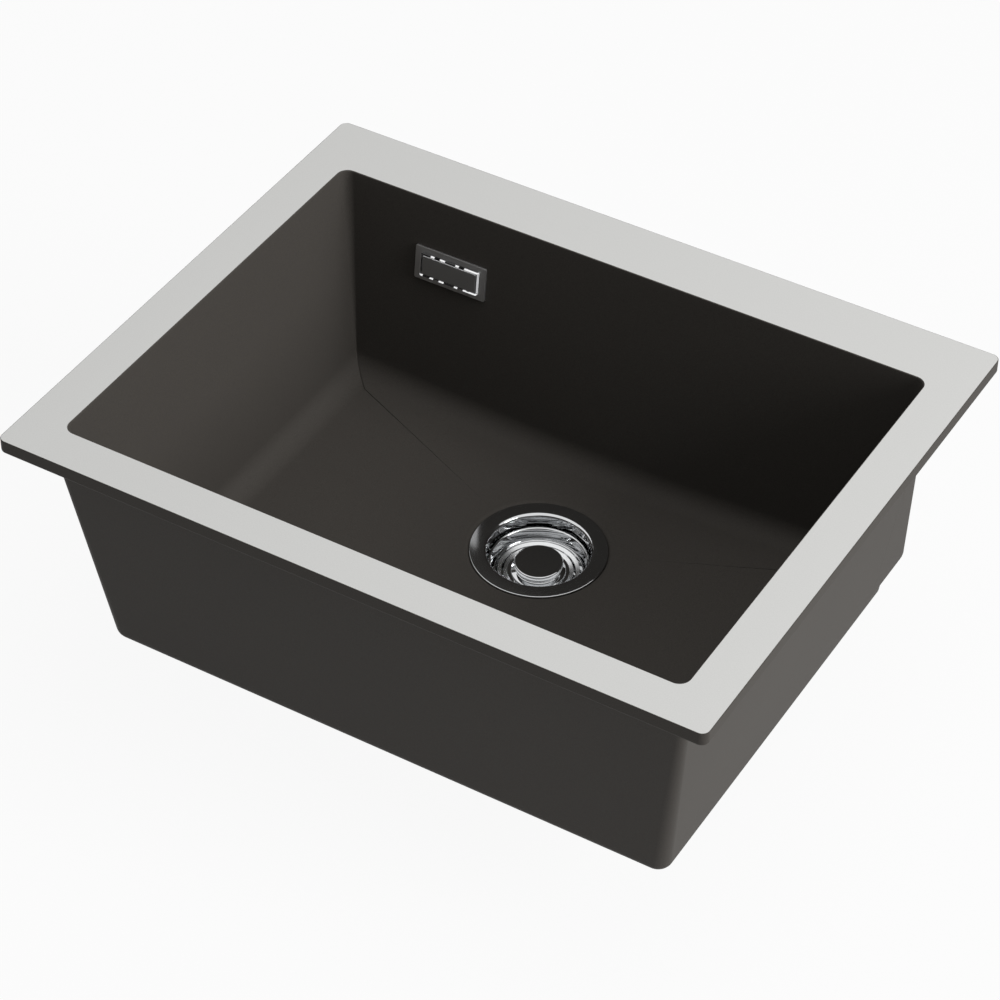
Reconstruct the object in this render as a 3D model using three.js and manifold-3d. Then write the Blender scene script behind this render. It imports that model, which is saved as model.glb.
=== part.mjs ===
// Undermount kitchen sink moulded in composite, with its strainer waste and its overflow.
// Millimetres, +Z up. The origin is the centre of the flange's outline, on its top face,
// which is the face that meets the underside of the worktop. +X right, +Y to the back.
import * as THREE from 'three';
import { mergeVertices } from 'three/addons/utils/BufferGeometryUtils.js';
import Module from 'manifold-3d';

const wasm = await Module();
wasm.setup();

// ------------------------------------------------------------------ driving dimensions

// The moulded bowl and its flange.
const SINK_WIDTH = 553;
const SINK_DEPTH = 440;
const SINK_HEIGHT = 202;
const FLANGE_THICKNESS = 11;
const FLANGE_CORNER_RADIUS = 6;
const FLANGE_EDGE_RADIUS = 1.6;
const FLANGE_SIDE_STRIP = 33.1;
const FLANGE_FRONT_STRIP = 32.2;
const FLANGE_BACK_STRIP = 51.6;
const FLANGE_ROOT_FILLET = 4;
const WALL = 9.5;
const DRAFT = 0.119;
const BOWL_CORNER_RADIUS = 9;
const FLOOR_FILLET = 20;
const OUTER_CORNER_TOP = 6;
const OUTER_CORNER_BASE = 11;
const BASE_EDGE_RADIUS = 8;
const BASE_RIM_WIDTH = 15;
const BASE_RIM_DRAFT = 1.5;

// The floor falls to the waste like a very flat cone.
const DRAIN_TO_BACK_EDGE = 119.5;
const DRAIN_ABOVE_BASE = 20.7;
const FLOOR_FALL = 0.045;
const FLOOR_FLAT_MARGIN = 6.1;
const FLOOR_THICKNESS = 10;
const DRAIN_HOLE_RADIUS = 45;
const RECESS_DEPTH = 3;
const RECESS_CLEARANCE = 0.4;
const RECESS_LIP_RADIUS = 6;
const RECESS_LIP_TURN = 40;
const CLAMP_THICKNESS = 10.2;
const BOSS_MARGIN = 17;
const BOSS_FLARE = 4;

// The two fins behind the back wall, flush with the side walls.
const FIN_THICKNESS = 9.5;
const FIN_TOP_DEPTH = 50;
const FIN_BASE_LIFT = 11.5;
const FIN_REACH = 36.5;
const FIN_EDGE_RADIUS = 2.5;
const FIN_BEVEL = 1;

// Overflow fitting on the back wall.
const OVERFLOW_FROM_SIDE = 98.6;
const OVERFLOW_DEPTH = 55.2;
const BEZEL_SIDE_BORDER = 6.7;
const BEZEL_TOP_BORDER = 5.2;
const BEZEL_THICKNESS = 1.5;
const BEZEL_CORNER = 1.5;
const TRIM_BEVEL = 0.5;
const SLEEVE_WIDTH = 48.6;
const SLEEVE_HEIGHT = 18.6;
const SLEEVE_WALL = 1.5;
const SLEEVE_CORNER = 3;
const APERTURE_CLEARANCE = 0.4;
const BRIDGE_SPACING = 30;
const BRIDGE_WIDTH = 8;
const BRIDGE_THICKNESS = 2.4;
const GRILLE_SIDE_OVERLAP = 1.45;
const GRILLE_TOP_OVERLAP = 1.1;
const GRILLE_BAR = 1.5;
const GRILLE_DEPTH = 2.6;
const GRILLE_CORNER = 1.8;
const GRILLE_INNER_CORNER = 0.9;
const GRILLE_WEB = 0.8;
const GRILLE_NOTCH = 3.6;
const GRILLE_NOTCH_PITCH = 10.7;
const GRILLE_TOOTH = 2;
const GRILLE_TOOTH_SETBACK = 0.6;
const GRILLE_TOOTH_PITCH = 17.1;
const COVER_CLEARANCE = 0.65;
const COVER_THICKNESS = 1.5;
const COVER_INSET = 0.7;
const COVER_CORNER = 1.2;
const COVER_BEVEL = 0.3;
const CLIP_WIDTH = 10;
const CLIP_THICKNESS = 1.2;
const CLIP_LENGTH = 8.5;
const SCREW_HEAD_RADIUS = 3.5;
const SCREW_HEAD_HEIGHT = 2.2;
const SCREW_RADIUS = 1.9;
const SCREW_LENGTH = 14;
const SCREW_SLOT = 0.9;
const SCREW_CROWN_RADIUS = 2.1;
const SCREW_CROWN_HEIGHT = 1.3;
const SCREW_SLOT_DEPTH = 1.1;
const SCREW_SLOT_REACH = 2.5;

// Elbow behind the wall, and the rigid pipe from it to the waste.
const GASKET_THICKNESS = 2.2;
const ELBOW_FLANGE_SIDE_BORDER = 5.7;
const ELBOW_FLANGE_TOP_BORDER = 4.7;
const ELBOW_FLANGE_THICKNESS = 3;
const ELBOW_WALL = 2.2;
const ELBOW_REAR_MARGIN = 0.6;
const ELBOW_SIDE_MARGIN = 2.6;
const ELBOW_REAR_HEIGHT = 24;
const ELBOW_REAR_CHAMFER = 3;
const ELBOW_NECK = 2;
const ELBOW_WEB_THICKNESS = 2.4;
const ELBOW_WEB_DEPTH = 7;
const NUT_TO_WALL = 1.2;
const ELBOW_SPIGOT_END = 40;
const SCREW_BOSS_RADIUS = 4.4;
const PIPE_RADIUS = 10;
const PIPE_WALL = 2;
const PIPE_BEND_RADIUS = 32;
const SPIGOT_WALL = 2.05;
const SPIGOT_SOCKET = 12;
const NUT_WALL = 2.75;
const NUT_BACK = 14;
const NUT_END_WALL = 3;
const NUT_RIBS = 8;
const NUT_RIB_HEIGHT = 1.1;
const NUT_RIB_WIDTH = 3;
const NUT_CHAMFER = 1.5;
const SEAL_LENGTH = 3.2;
const SEAL_TIP = 1;
const SEAL_TAPER = 0.4;

// Strainer waste. Depths are below the plane of its flat ring.
const SHEET = 1.2;
const RING_OVERHANG = 6.9;
const RING_LIP_RADIUS = 1.4;
const RING_SKIRT = 2.3;
const THROAT_CLEARANCE = 6.4;
const THROAT_EDGE_RADIUS = 2.7;
const DISH_DEPTH = 31;
const DISH_HEEL_RADIUS = 5.5;
const PORT_RADIUS = 19.5;
const HUB_MARGIN = 2;
const DISH_SPOKES = 3;
const DISH_SPOKE_WIDTH = 5;
const FLANGE_GASKET_WIDTH = 3.4;
const CUP_STEP_IN = 1;
const CUP_WALL = 2.6;
const CUP_RIM_OVERHANG = 9;
const CUP_RIM_THICKNESS = 4;
const CUP_BELOW_DISH = 19;
const CUP_CONE_HEIGHT = 11;
const CUP_CONE_DROP = 1;
const CLAMP_GASKET_INSET = 0.5;
const OUTLET_BORE_RADIUS = 20;
const OUTLET_WALL = 3.9;
const OUTLET_LENGTH = 27;
const HUB_BELOW_DISH = 16;
const HUB_HEIGHT = 15;
const HUB_RIBS = 4;
const HUB_RIB_THICKNESS = 3;
const HUB_RIB_SETBACK = 2;
const HUB_BOSS_WALL = 2;
const SPIGOT_ABOVE_CUP_FLOOR = 9.3;
const SPIGOT_LENGTH = 34;
const CLAMP_SCREW_RADIUS = 7;
const CLAMP_HEAD_RADIUS = 10.5;
const CLAMP_HEAD_HEIGHT = 3;
const CLAMP_SCREW_BORE = 4.4;
const CLAMP_COUNTERBORE = 6.5;
const CLAMP_COUNTERBORE_DEPTH = 2.6;
const CLAMP_SCREW_SHORTFALL = 1.3;
const CLAMP_SLOT = 2;
const CLAMP_SLOT_DEPTH = 1.5;
const CLAMP_CHAMFER = 0.8;
const INSERT_ACROSS_FLATS = 19;
const INSERT_HEIGHT = 9;

// Strainer basket, its knob and its stem.
const BASKET_SHEET = 1;
const BASKET_CLEARANCE = 1;
const BASKET_RIM_DEPTH = 11;
const BASKET_WAIST_STEP = 4;
const BASKET_WAIST_HEIGHT = 1.6;
const BASKET_ABOVE_SEAT = 9.6;
const SLOT_ROW_STEPS = [6.7, 2.1];
const SLOTS_PER_ROW = 5;
const SLOT_WIDTH = 1.4;
const SLOT_BRIDGE = 4;
const BASKET_CORNER = 1.2;
const BASKET_ROLL_RADIUS = 1;
const BASKET_ROLL_START = 150;
const BASKET_BELLY_OUT = 0.35;
const BASKET_BELLY_UP = 0.4;
const KNOB_RADIUS = 18.4;
const KNOB_TOP_DEPTH = 12;
const KNOB_EDGE = 1;
const KNOB_WAIST_RADIUS = 15.6;
const KNOB_FOOT_RADIUS = 20.5;
const KNOB_FOOT_EDGE = 0.6;
const KNOB_SHOULDER_AT = 0.35;
const KNOB_WAIST_AT = 0.62;
const KNOB_FLARE_AT = 0.84;
const STEM_RADIUS = 3;
const STEM_SHANK_RADIUS = 2;
const STEM_COLLAR_RADIUS = 5;
const STEM_COLLAR_HEIGHT = 1.5;
const STEM_IN_KNOB = 5;
const STEM_HEAD_HEIGHT = 2;
const STEM_CHAMFER = 0.8;
const COLLET_CLEARANCE = 0.4;
const COLLET_LENGTH = 21;
const COLLET_FINGERS = 4;
const COLLET_SLIT = 0.8;
const COLLET_SLIT_LENGTH = 14;
const COLLET_GROOVE = 0.5;
const COLLET_GROOVE_HEIGHT = 2.5;
const COLLET_NOSE = 0.9;
const SEAL_DISC_THICKNESS = 2.5;
const SEAL_LIP_OVERLAP = 1.9;
const SEAL_LIP_WIDTH = 2.6;
const SEAL_CHAMFER = 0.9;
const WASHER_RADIUS = 12;
const WASHER_THICKNESS = 1.5;

// Running and seating clearances.
const SEAT_GAP = 0.3;
const FIT_GAP = 0.35;

// Facets.
const CORNER_STEPS = 4;
const SIDE_STEPS = 5;
const FILLET_STEPS = 5;
const PIPE_BEND_STEPS = 5;
const SHARPEST_RADIUS = 1;
const ROUND_LARGE = 32;
const ROUND_MEDIUM = 20;
const ROUND_SMALL = 16;
const SLEEVE_STEPS = 3;
const TRIM_STEPS = 2;
const PRESSED_STEPS = 2;
const THROAT_STEPS = 3;
const RECESS_STEPS = 3;
const SLOT_STEPS = 8;
const QUARTER_TURN = [0, 30, 60, 90];
const PAST = 1;

// ------------------------------------------------------------------ derived places

const DRAFT_ANGLE = Math.atan(DRAFT);
const PIPE_SOCKET_RADIUS = PIPE_RADIUS + FIT_GAP;
const SPIGOT_RADIUS = PIPE_SOCKET_RADIUS + SPIGOT_WALL;
const SPIGOT_BORE_RADIUS = PIPE_RADIUS - PIPE_WALL;
const NUT_BORE = SPIGOT_RADIUS + FIT_GAP;
const NUT_RADIUS = NUT_BORE + NUT_WALL;
const ELBOW_REAR_WIDTH = 2 * (SPIGOT_RADIUS + ELBOW_SIDE_MARGIN);
const WALL_ACROSS = WALL / Math.cos(DRAFT_ANGLE);
const OPENING = {
  left: -SINK_WIDTH / 2 + FLANGE_SIDE_STRIP,
  right: SINK_WIDTH / 2 - FLANGE_SIDE_STRIP,
  front: -SINK_DEPTH / 2 + FLANGE_FRONT_STRIP,
  back: SINK_DEPTH / 2 - FLANGE_BACK_STRIP,
  radius: BOWL_CORNER_RADIUS,
};
const DRAIN_Y = OPENING.back - DRAIN_TO_BACK_EDGE;
const DRAIN_Z = DRAIN_ABOVE_BASE - SINK_HEIGHT;
const RING_RADIUS = DRAIN_HOLE_RADIUS + RING_OVERHANG;
const RECESS_RADIUS = RING_RADIUS + RECESS_CLEARANCE;
const FLOOR_FLAT_RADIUS = RING_RADIUS + FLOOR_FLAT_MARGIN;
const BOSS_RADIUS = DRAIN_HOLE_RADIUS + BOSS_MARGIN;
const BOSS_Z = DRAIN_Z - RECESS_DEPTH - CLAMP_THICKNESS;
const OVERFLOW_X = OPENING.left + OVERFLOW_FROM_SIDE;
const OVERFLOW_Y = OPENING.back - DRAFT * OVERFLOW_DEPTH;

// ------------------------------------------------------------------ materials

function finish(color, roughness, metalness) {
  return new THREE.MeshStandardMaterial({ color, roughness, metalness });
}

const composite = finish(0x3a3836, 0.55, 0);
const steel = finish(0xb9babc, 0.25, 1);
const chrome = finish(0xd4d6d8, 0.08, 1);
const blackPlastic = finish(0x1c1c1d, 0.5, 0);
const greyPlastic = finish(0x8c8d8e, 0.5, 0);
const rubber = finish(0x151515, 0.85, 0);
const brass = finish(0xb08d4a, 0.35, 1);
const whiteAcetal = finish(0xd9d8d2, 0.45, 0);

// ------------------------------------------------------------------ geometry helpers

const v2 = (x, y) => new THREE.Vector2(x, y);
const v3 = (x, y, z) => new THREE.Vector3(x, y, z);
const span = (a, b) => [Math.min(a, b), Math.max(a, b)];

// Merges shared vertices, drops triangles that closed up, and turns the faces outwards.
function tidyMesh(geometry) {
  const bare = new THREE.BufferGeometry();
  bare.setAttribute('position', geometry.getAttribute('position').clone());
  if (geometry.index) bare.setIndex(geometry.index.clone());
  const merged = mergeVertices(bare, 1e-4);
  const source = merged.index.array;
  const place = merged.getAttribute('position');
  const corners = [v3(), v3(), v3()];
  const kept = [];
  let volume = 0;
  for (let t = 0; t < source.length; t += 3) {
    const triangle = [source[t], source[t + 1], source[t + 2]];
    if (new Set(triangle).size < 3) continue;
    triangle.forEach((vertex, k) => corners[k].fromBufferAttribute(place, vertex));
    volume += corners[0].dot(corners[1].clone().cross(corners[2]));
    kept.push(triangle);
  }
  const facing = volume < 0 ? kept.map(([a, b, c]) => [a, c, b]) : kept;
  merged.setIndex(facing.flat());
  return merged;
}

function solid(geometry) {
  const closed = tidyMesh(geometry);
  return new wasm.Manifold(new wasm.Mesh({
    numProp: 3,
    vertProperties: new Float32Array(closed.getAttribute('position').array),
    triVerts: new Uint32Array(closed.index.array),
  }));
}

function toGeometry(shape) {
  const cut = shape.getMesh();
  const geometry = new THREE.BufferGeometry();
  geometry.setAttribute('position', new THREE.BufferAttribute(new Float32Array(cut.vertProperties), 3));
  geometry.setIndex(Array.from(cut.triVerts));
  geometry.computeVertexNormals();
  return geometry;
}

// Joins rings of equally many points, in order, and closes both ends with a fan.
function loft(rings) {
  const count = rings[0].length;
  const points = rings.flat();
  const index = [];
  for (let level = 0; level + 1 < rings.length; level += 1) {
    for (let k = 0; k < count; k += 1) {
      const next = (k + 1) % count;
      const a = level * count + k;
      const b = level * count + next;
      index.push(a, b, b + count, a, b + count, a + count);
    }
  }
  [0, rings.length - 1].forEach((level) => {
    const middle = points.length;
    const centre = v3();
    rings[level].forEach((point) => centre.add(point));
    points.push(centre.divideScalar(count));
    for (let k = 0; k < count; k += 1) {
      const a = level * count + k;
      const b = level * count + ((k + 1) % count);
      index.push(...(level === 0 ? [middle, b, a] : [middle, a, b]));
    }
  });
  const geometry = new THREE.BufferGeometry().setFromPoints(points);
  geometry.setIndex(index);
  return geometry;
}

// Revolves a closed (radius, height) outline about Z.
function revolve(outline, segments) {
  const profile = outline.map(([radius, height]) => v2(radius, height));
  const last = profile[profile.length - 1];
  const opensOnAxis = profile[0].x === 0 && last.x === 0;
  if (!opensOnAxis) profile.push(profile[0].clone());
  return new THREE.LatheGeometry(profile, segments).rotateX(Math.PI / 2);
}

// Points of an arc, as [x, y] pairs, angles in degrees.
function arc(x, y, radius, from, to, steps) {
  return Array.from({ length: steps + 1 }, (_, k) => {
    const angle = THREE.MathUtils.degToRad(from + ((to - from) * k) / steps);
    return [x + radius * Math.cos(angle), y + radius * Math.sin(angle)];
  });
}

// A sheet of even thickness, lying on one side of an open outline.
function thicken(outline, thickness) {
  const path = outline.map(([x, y]) => v2(x, y));
  const other = path.map((point, k) => {
    const before = path[Math.max(k - 1, 0)];
    const after = path[Math.min(k + 1, path.length - 1)];
    const into = point.clone().sub(before).normalize();
    const out = after.clone().sub(point).normalize();
    const first = k === 0 ? out : into;
    const second = k === path.length - 1 ? into : out;
    const mitre = first.clone().add(second).normalize();
    const normal = v2(-mitre.y, mitre.x);
    const stretch = 1 / Math.max(0.5, mitre.dot(first));
    return point.clone().addScaledVector(normal, thickness * stretch);
  });
  return [...path, ...other.reverse()].map((point) => [point.x, point.y]);
}

function roundedRect(width, height, radius, steps = CORNER_STEPS) {
  const x = width / 2 - radius;
  const y = height / 2 - radius;
  const turns = [[x, y, 0], [-x, y, 90], [-x, -y, 180], [x, -y, 270]];
  const outline = turns.flatMap(([cx, cy, from]) => arc(cx, cy, radius, from, from + 90, steps));
  return new THREE.Shape(outline.map(([px, py]) => v2(px, py)));
}

function circlePath(radius, segments, x = 0, y = 0) {
  return new THREE.Shape(arc(x, y, radius, 0, 360, segments).slice(0, -1).map(([px, py]) => v2(px, py)));
}

function extrude(shape, from, to, bevel = 0) {
  const geometry = new THREE.ExtrudeGeometry(shape, {
    depth: to - from - 2 * bevel,
    curveSegments: ROUND_SMALL,
    bevelEnabled: bevel > 0,
    bevelThickness: bevel,
    bevelSize: bevel,
    bevelOffset: -bevel,
    bevelSegments: 1,
  });
  return geometry.translate(0, 0, from + bevel);
}

function cylinder(radius, from, to, segments = ROUND_MEDIUM) {
  return revolve([[0, from], [radius, from], [radius, to], [0, to]], segments);
}

function block(x0, x1, y0, y1, z0, z1) {
  const geometry = new THREE.BoxGeometry(x1 - x0, y1 - y0, z1 - z0);
  return geometry.translate((x0 + x1) / 2, (y0 + y1) / 2, (z0 + z1) / 2);
}

function cutAway(body, ...tools) {
  return tools.reduce((left, tool) => left.subtract(solid(tool)), body);
}

function joined(...geometries) {
  return geometries.map(solid).reduce((left, right) => left.add(right));
}

// ------------------------------------------------------------------ the drafted rectangle

// Steps round a rounded rectangle: each has its corner, its outward turn, and how far it
// has gone along the straight side that follows the corner.
const RAIL = [0, 1, 2, 3].flatMap((corner) => {
  const bend = Array.from({ length: CORNER_STEPS + 1 }, (_, k) => (
    { corner, turn: ((corner + k / CORNER_STEPS) * Math.PI) / 2, along: 0 }
  ));
  const side = Array.from({ length: SIDE_STEPS - 1 }, (_, k) => (
    { corner, turn: ((corner + 1) * Math.PI) / 2, along: (k + 1) / SIDE_STEPS }
  ));
  return [...bend, ...side];
});

// The point of a rectangle, drawn in by an inset, at one step of the rail.
function railPoint(rect, inset, step) {
  const radius = Math.max(rect.radius - inset, SHARPEST_RADIUS);
  const hold = inset + radius;
  const centres = [
    v2(rect.right - hold, rect.back - hold),
    v2(rect.left + hold, rect.back - hold),
    v2(rect.left + hold, rect.front + hold),
    v2(rect.right - hold, rect.front + hold),
  ];
  const outward = v2(Math.cos(step.turn), Math.sin(step.turn));
  const from = centres[step.corner];
  const to = centres[(step.corner + 1) % 4];
  return from.clone().lerp(to, step.along).addScaledVector(outward, radius);
}

function rectRing(rect, inset, z) {
  return RAIL.map((step) => {
    const point = railPoint(rect, inset, step);
    return v3(point.x, point.y, z);
  });
}

function grown(rect, by, radius) {
  return {
    left: rect.left - by,
    right: rect.right + by,
    front: rect.front - by,
    back: rect.back + by,
    radius,
  };
}

// Height of the bowl's floor above a point, as the cone gives it.
function floorHeight(x, y) {
  const away = Math.hypot(x, y - DRAIN_Y);
  return DRAIN_Z + FLOOR_FALL * Math.max(0, away - FLOOR_FLAT_RADIUS);
}

// The section of the bowl at one step of the rail: the arc between wall and floor, as
// (inset, height) pairs from the wall's end to the floor's edge.
function filletSection(step) {
  const edge = railPoint(OPENING, 0, step);
  const inward = v2(-Math.cos(step.turn), -Math.sin(step.turn));
  const toDrain = v2(-edge.x, DRAIN_Y - edge.y).normalize();
  const fall = Math.atan(FLOOR_FALL * inward.dot(toDrain));
  const height = floorHeight(edge.x, edge.y);
  const [ca, sa] = [Math.cos(DRAFT_ANGLE), Math.sin(DRAFT_ANGLE)];
  const [cb, sb] = [Math.cos(fall), Math.sin(fall)];
  const reach = height * cb + FLOOR_FILLET;
  const spread = ca * cb - sa * sb;
  const inset = (FLOOR_FILLET * cb - reach * sa) / spread;
  const z = (reach * ca - FLOOR_FILLET * sb) / spread;
  const last = Math.PI / 2 - fall;
  return Array.from({ length: FILLET_STEPS + 1 }, (_, k) => {
    const angle = DRAFT_ANGLE + ((last - DRAFT_ANGLE) * k) / FILLET_STEPS;
    return [inset - FLOOR_FILLET * Math.cos(angle), z - FLOOR_FILLET * Math.sin(angle)];
  });
}

// Ring of points on a circle about the drain, each at the angle of its rail point.
function drainRing(radius, z, along) {
  return along.map((point) => {
    const angle = Math.atan2(point.y - DRAIN_Y, point.x);
    return v3(radius * Math.cos(angle), DRAIN_Y + radius * Math.sin(angle), z);
  });
}

function bowlCavity() {
  const sections = RAIL.map(filletSection);
  const bends = Array.from({ length: FILLET_STEPS + 1 }, (_, k) => RAIL.map((step, i) => {
    const [inset, z] = sections[i][k];
    const point = railPoint(OPENING, inset, step);
    return v3(point.x, point.y, z);
  }));
  const floorEdge = bends[FILLET_STEPS];
  const rings = [
    rectRing(OPENING, 0, PAST),
    rectRing(OPENING, 0, 0),
    ...bends,
    drainRing(FLOOR_FLAT_RADIUS, DRAIN_Z, floorEdge),
  ];
  return loft(rings);
}

// ------------------------------------------------------------------ the bowl

function outerWalls() {
  const wallFoot = -SINK_HEIGHT + BASE_EDGE_RADIUS;
  const level = (z, extra) => {
    const share = (-z - FLANGE_THICKNESS) / (SINK_HEIGHT - FLANGE_THICKNESS);
    const radius = THREE.MathUtils.lerp(OUTER_CORNER_TOP, OUTER_CORNER_BASE, share);
    const by = WALL_ACROSS + DRAFT * z + extra;
    return rectRing(grown(OPENING, by, Math.max(radius + extra, SHARPEST_RADIUS)), 0, z);
  };
  const root = QUARTER_TURN.map((degrees) => {
    const angle = THREE.MathUtils.degToRad(degrees);
    const out = FLANGE_ROOT_FILLET * (1 - Math.sin(angle));
    return level(-FLANGE_THICKNESS - FLANGE_ROOT_FILLET * (1 - Math.cos(angle)), out);
  });
  const foot = QUARTER_TURN.map((degrees) => {
    const angle = THREE.MathUtils.degToRad(degrees);
    return level(wallFoot - BASE_EDGE_RADIUS * Math.sin(angle), -BASE_EDGE_RADIUS * (1 - Math.cos(angle)));
  });
  const hidden = level(-FLANGE_THICKNESS, FLANGE_ROOT_FILLET).map((point) => v3(point.x, point.y, -PAST));
  return loft([hidden, ...root, ...foot]);
}

function flangePlate() {
  const outline = {
    left: -SINK_WIDTH / 2,
    right: SINK_WIDTH / 2,
    front: -SINK_DEPTH / 2,
    back: SINK_DEPTH / 2,
    radius: FLANGE_CORNER_RADIUS,
  };
  const edge = [90, 45, 0].map((degrees) => {
    const angle = THREE.MathUtils.degToRad(degrees);
    const inset = FLANGE_EDGE_RADIUS * (1 - Math.cos(angle));
    return rectRing(outline, inset, -FLANGE_THICKNESS + FLANGE_EDGE_RADIUS * (1 - Math.sin(angle)));
  });
  return loft([...edge, rectRing(outline, 0, 0)]);
}

// A tapering fin in line with a side wall, widest at its foot. Its slope starts inside the wall.
function rearFin(side) {
  const footZ = -SINK_HEIGHT + FIN_BASE_LIFT;
  const wallAt = (z) => OPENING.back + WALL_ACROSS + DRAFT * z;
  const lift = FIN_EDGE_RADIUS;
  const back = wallAt(footZ) + FIN_REACH;
  const apex = v2(wallAt(-FIN_TOP_DEPTH), -FIN_TOP_DEPTH);
  const slope = v2(back, footZ).sub(apex).normalize();
  const start = apex.clone().addScaledVector(slope, -WALL);
  const outline = new THREE.Shape([
    v2(start.x - WALL / 3, start.y),
    start,
    v2(back - lift / 4, footZ + lift),
    v2(back - lift, footZ),
    v2(wallAt(footZ) - WALL / 2, footZ),
  ]);
  const plate = extrude(outline, -FIN_THICKNESS, 0, FIN_BEVEL);
  // Sketch (y, z) becomes the YZ plane, and the plate leans with the wall's draft.
  const stand = new THREE.Matrix4().set(0, 0, 1, 0, 1, 0, 0, 0, 0, 1, 0, 0, 0, 0, 0, 1);
  const lean = new THREE.Matrix4().set(1, 0, DRAFT, 0, 0, 1, 0, 0, 0, 0, 1, 0, 0, 0, 0, 1);
  const face = OPENING.right + WALL_ACROSS;
  plate.applyMatrix4(stand).applyMatrix4(lean).translate(face, 0, 0);
  return side > 0 ? plate : plate.applyMatrix4(new THREE.Matrix4().makeScale(-1, 1, 1));
}

// The hollow under the floor, which leaves a standing rim and a boss round the waste.
function basePocket() {
  const floorDraft = WALL_ACROSS - DRAFT * SINK_HEIGHT;
  const bottom = grown(OPENING, floorDraft - BASE_RIM_WIDTH, OUTER_CORNER_BASE);
  const mouth = rectRing(bottom, 0, -SINK_HEIGHT - PAST);
  const ceiling = rectRing(bottom, BASE_RIM_DRAFT, 0).map((point) => (
    v3(point.x, point.y, floorHeight(point.x, point.y) - FLOOR_THICKNESS)
  ));
  const flare = drainRing(BOSS_RADIUS + BOSS_FLARE, DRAIN_Z - FLOOR_THICKNESS, ceiling);
  const boss = drainRing(BOSS_RADIUS, BOSS_Z, ceiling);
  return loft([mouth, ceiling, flare, boss]);
}

function drainBore() {
  const lipReach = RECESS_LIP_RADIUS * Math.sin(THREE.MathUtils.degToRad(RECESS_LIP_TURN));
  const lipEnd = RECESS_RADIUS + lipReach;
  return revolve([
    [0, DRAIN_Z - 2 * SINK_HEIGHT],
    [DRAIN_HOLE_RADIUS, DRAIN_Z - 2 * SINK_HEIGHT],
    [DRAIN_HOLE_RADIUS, DRAIN_Z - RECESS_DEPTH],
    [RECESS_RADIUS, DRAIN_Z - RECESS_DEPTH],
    ...arc(lipEnd, DRAIN_Z - RECESS_LIP_RADIUS, RECESS_LIP_RADIUS, 90 + RECESS_LIP_TURN, 90, RECESS_STEPS),
    [lipEnd, DRAIN_Z + PAST],
    [0, DRAIN_Z + PAST],
  ], ROUND_LARGE).translate(0, DRAIN_Y, 0);
}

// The frame of the overflow fitting: on the inner face of the back wall, with Y out
// through the wall and Z up along it.
const overflow = new THREE.Group();
overflow.position.set(OVERFLOW_X, OVERFLOW_Y, -OVERFLOW_DEPTH);
overflow.rotation.x = -DRAFT_ANGLE;
overflow.updateMatrixWorld(true);

// Lays a sketch (x, z) of the fitting into its frame, from one depth in Y to another.
function through(shape, from, to, bevel = 0) {
  return extrude(shape, -to, -from, bevel).rotateX(Math.PI / 2);
}

function sinkBowl() {
  const body = joined(outerWalls(), flangePlate(), rearFin(1), rearFin(-1));
  const aperture = through(roundedRect(
    SLEEVE_WIDTH + 2 * APERTURE_CLEARANCE,
    SLEEVE_HEIGHT + 2 * APERTURE_CLEARANCE,
    SLEEVE_CORNER + APERTURE_CLEARANCE,
    SLEEVE_STEPS,
  ), -2 * WALL, 3 * WALL);
  aperture.applyMatrix4(overflow.matrixWorld);
  return cutAway(body, bowlCavity(), basePocket(), drainBore(), aperture);
}

// ------------------------------------------------------------------ overflow fitting

const SLEEVE_INNER_WIDTH = SLEEVE_WIDTH - 2 * SLEEVE_WALL;
const SLEEVE_INNER_HEIGHT = SLEEVE_HEIGHT - 2 * SLEEVE_WALL;
const BEZEL_WIDTH = SLEEVE_WIDTH + 2 * BEZEL_SIDE_BORDER;
const BEZEL_HEIGHT = SLEEVE_HEIGHT + 2 * BEZEL_TOP_BORDER;
const GRILLE_WIDTH = SLEEVE_WIDTH + 2 * GRILLE_SIDE_OVERLAP;
const GRILLE_HEIGHT = SLEEVE_HEIGHT + 2 * GRILLE_TOP_OVERLAP;
const COVER_WIDTH = GRILLE_WIDTH - 2 * (GRILLE_BAR + COVER_CLEARANCE);
const COVER_HEIGHT = GRILLE_HEIGHT - 2 * (GRILLE_BAR + COVER_CLEARANCE);
const ELBOW_FLANGE_WIDTH = SLEEVE_WIDTH + 2 * ELBOW_FLANGE_SIDE_BORDER;
const ELBOW_FLANGE_HEIGHT = SLEEVE_HEIGHT + 2 * ELBOW_FLANGE_TOP_BORDER;
const BEZEL_BACK = -SEAT_GAP;
const BEZEL_FRONT = BEZEL_BACK - BEZEL_THICKNESS;
const SLEEVE_END = WALL - SEAT_GAP;
const GRILLE_BACK = BEZEL_FRONT - SEAT_GAP;
const GRILLE_FRONT = GRILLE_BACK - GRILLE_DEPTH;
const COVER_FRONT = GRILLE_FRONT + COVER_INSET;
const COVER_BACK = COVER_FRONT + COVER_THICKNESS;
const GASKET_FRONT = WALL + SEAT_GAP;
const ELBOW_FACE = GASKET_FRONT + GASKET_THICKNESS + SEAT_GAP;
const ELBOW_AXIS = WALL + NUT_TO_WALL + NUT_RADIUS + NUT_RIB_HEIGHT;
const ELBOW_REAR_FACE = ELBOW_AXIS + SPIGOT_RADIUS + ELBOW_REAR_MARGIN;

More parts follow.
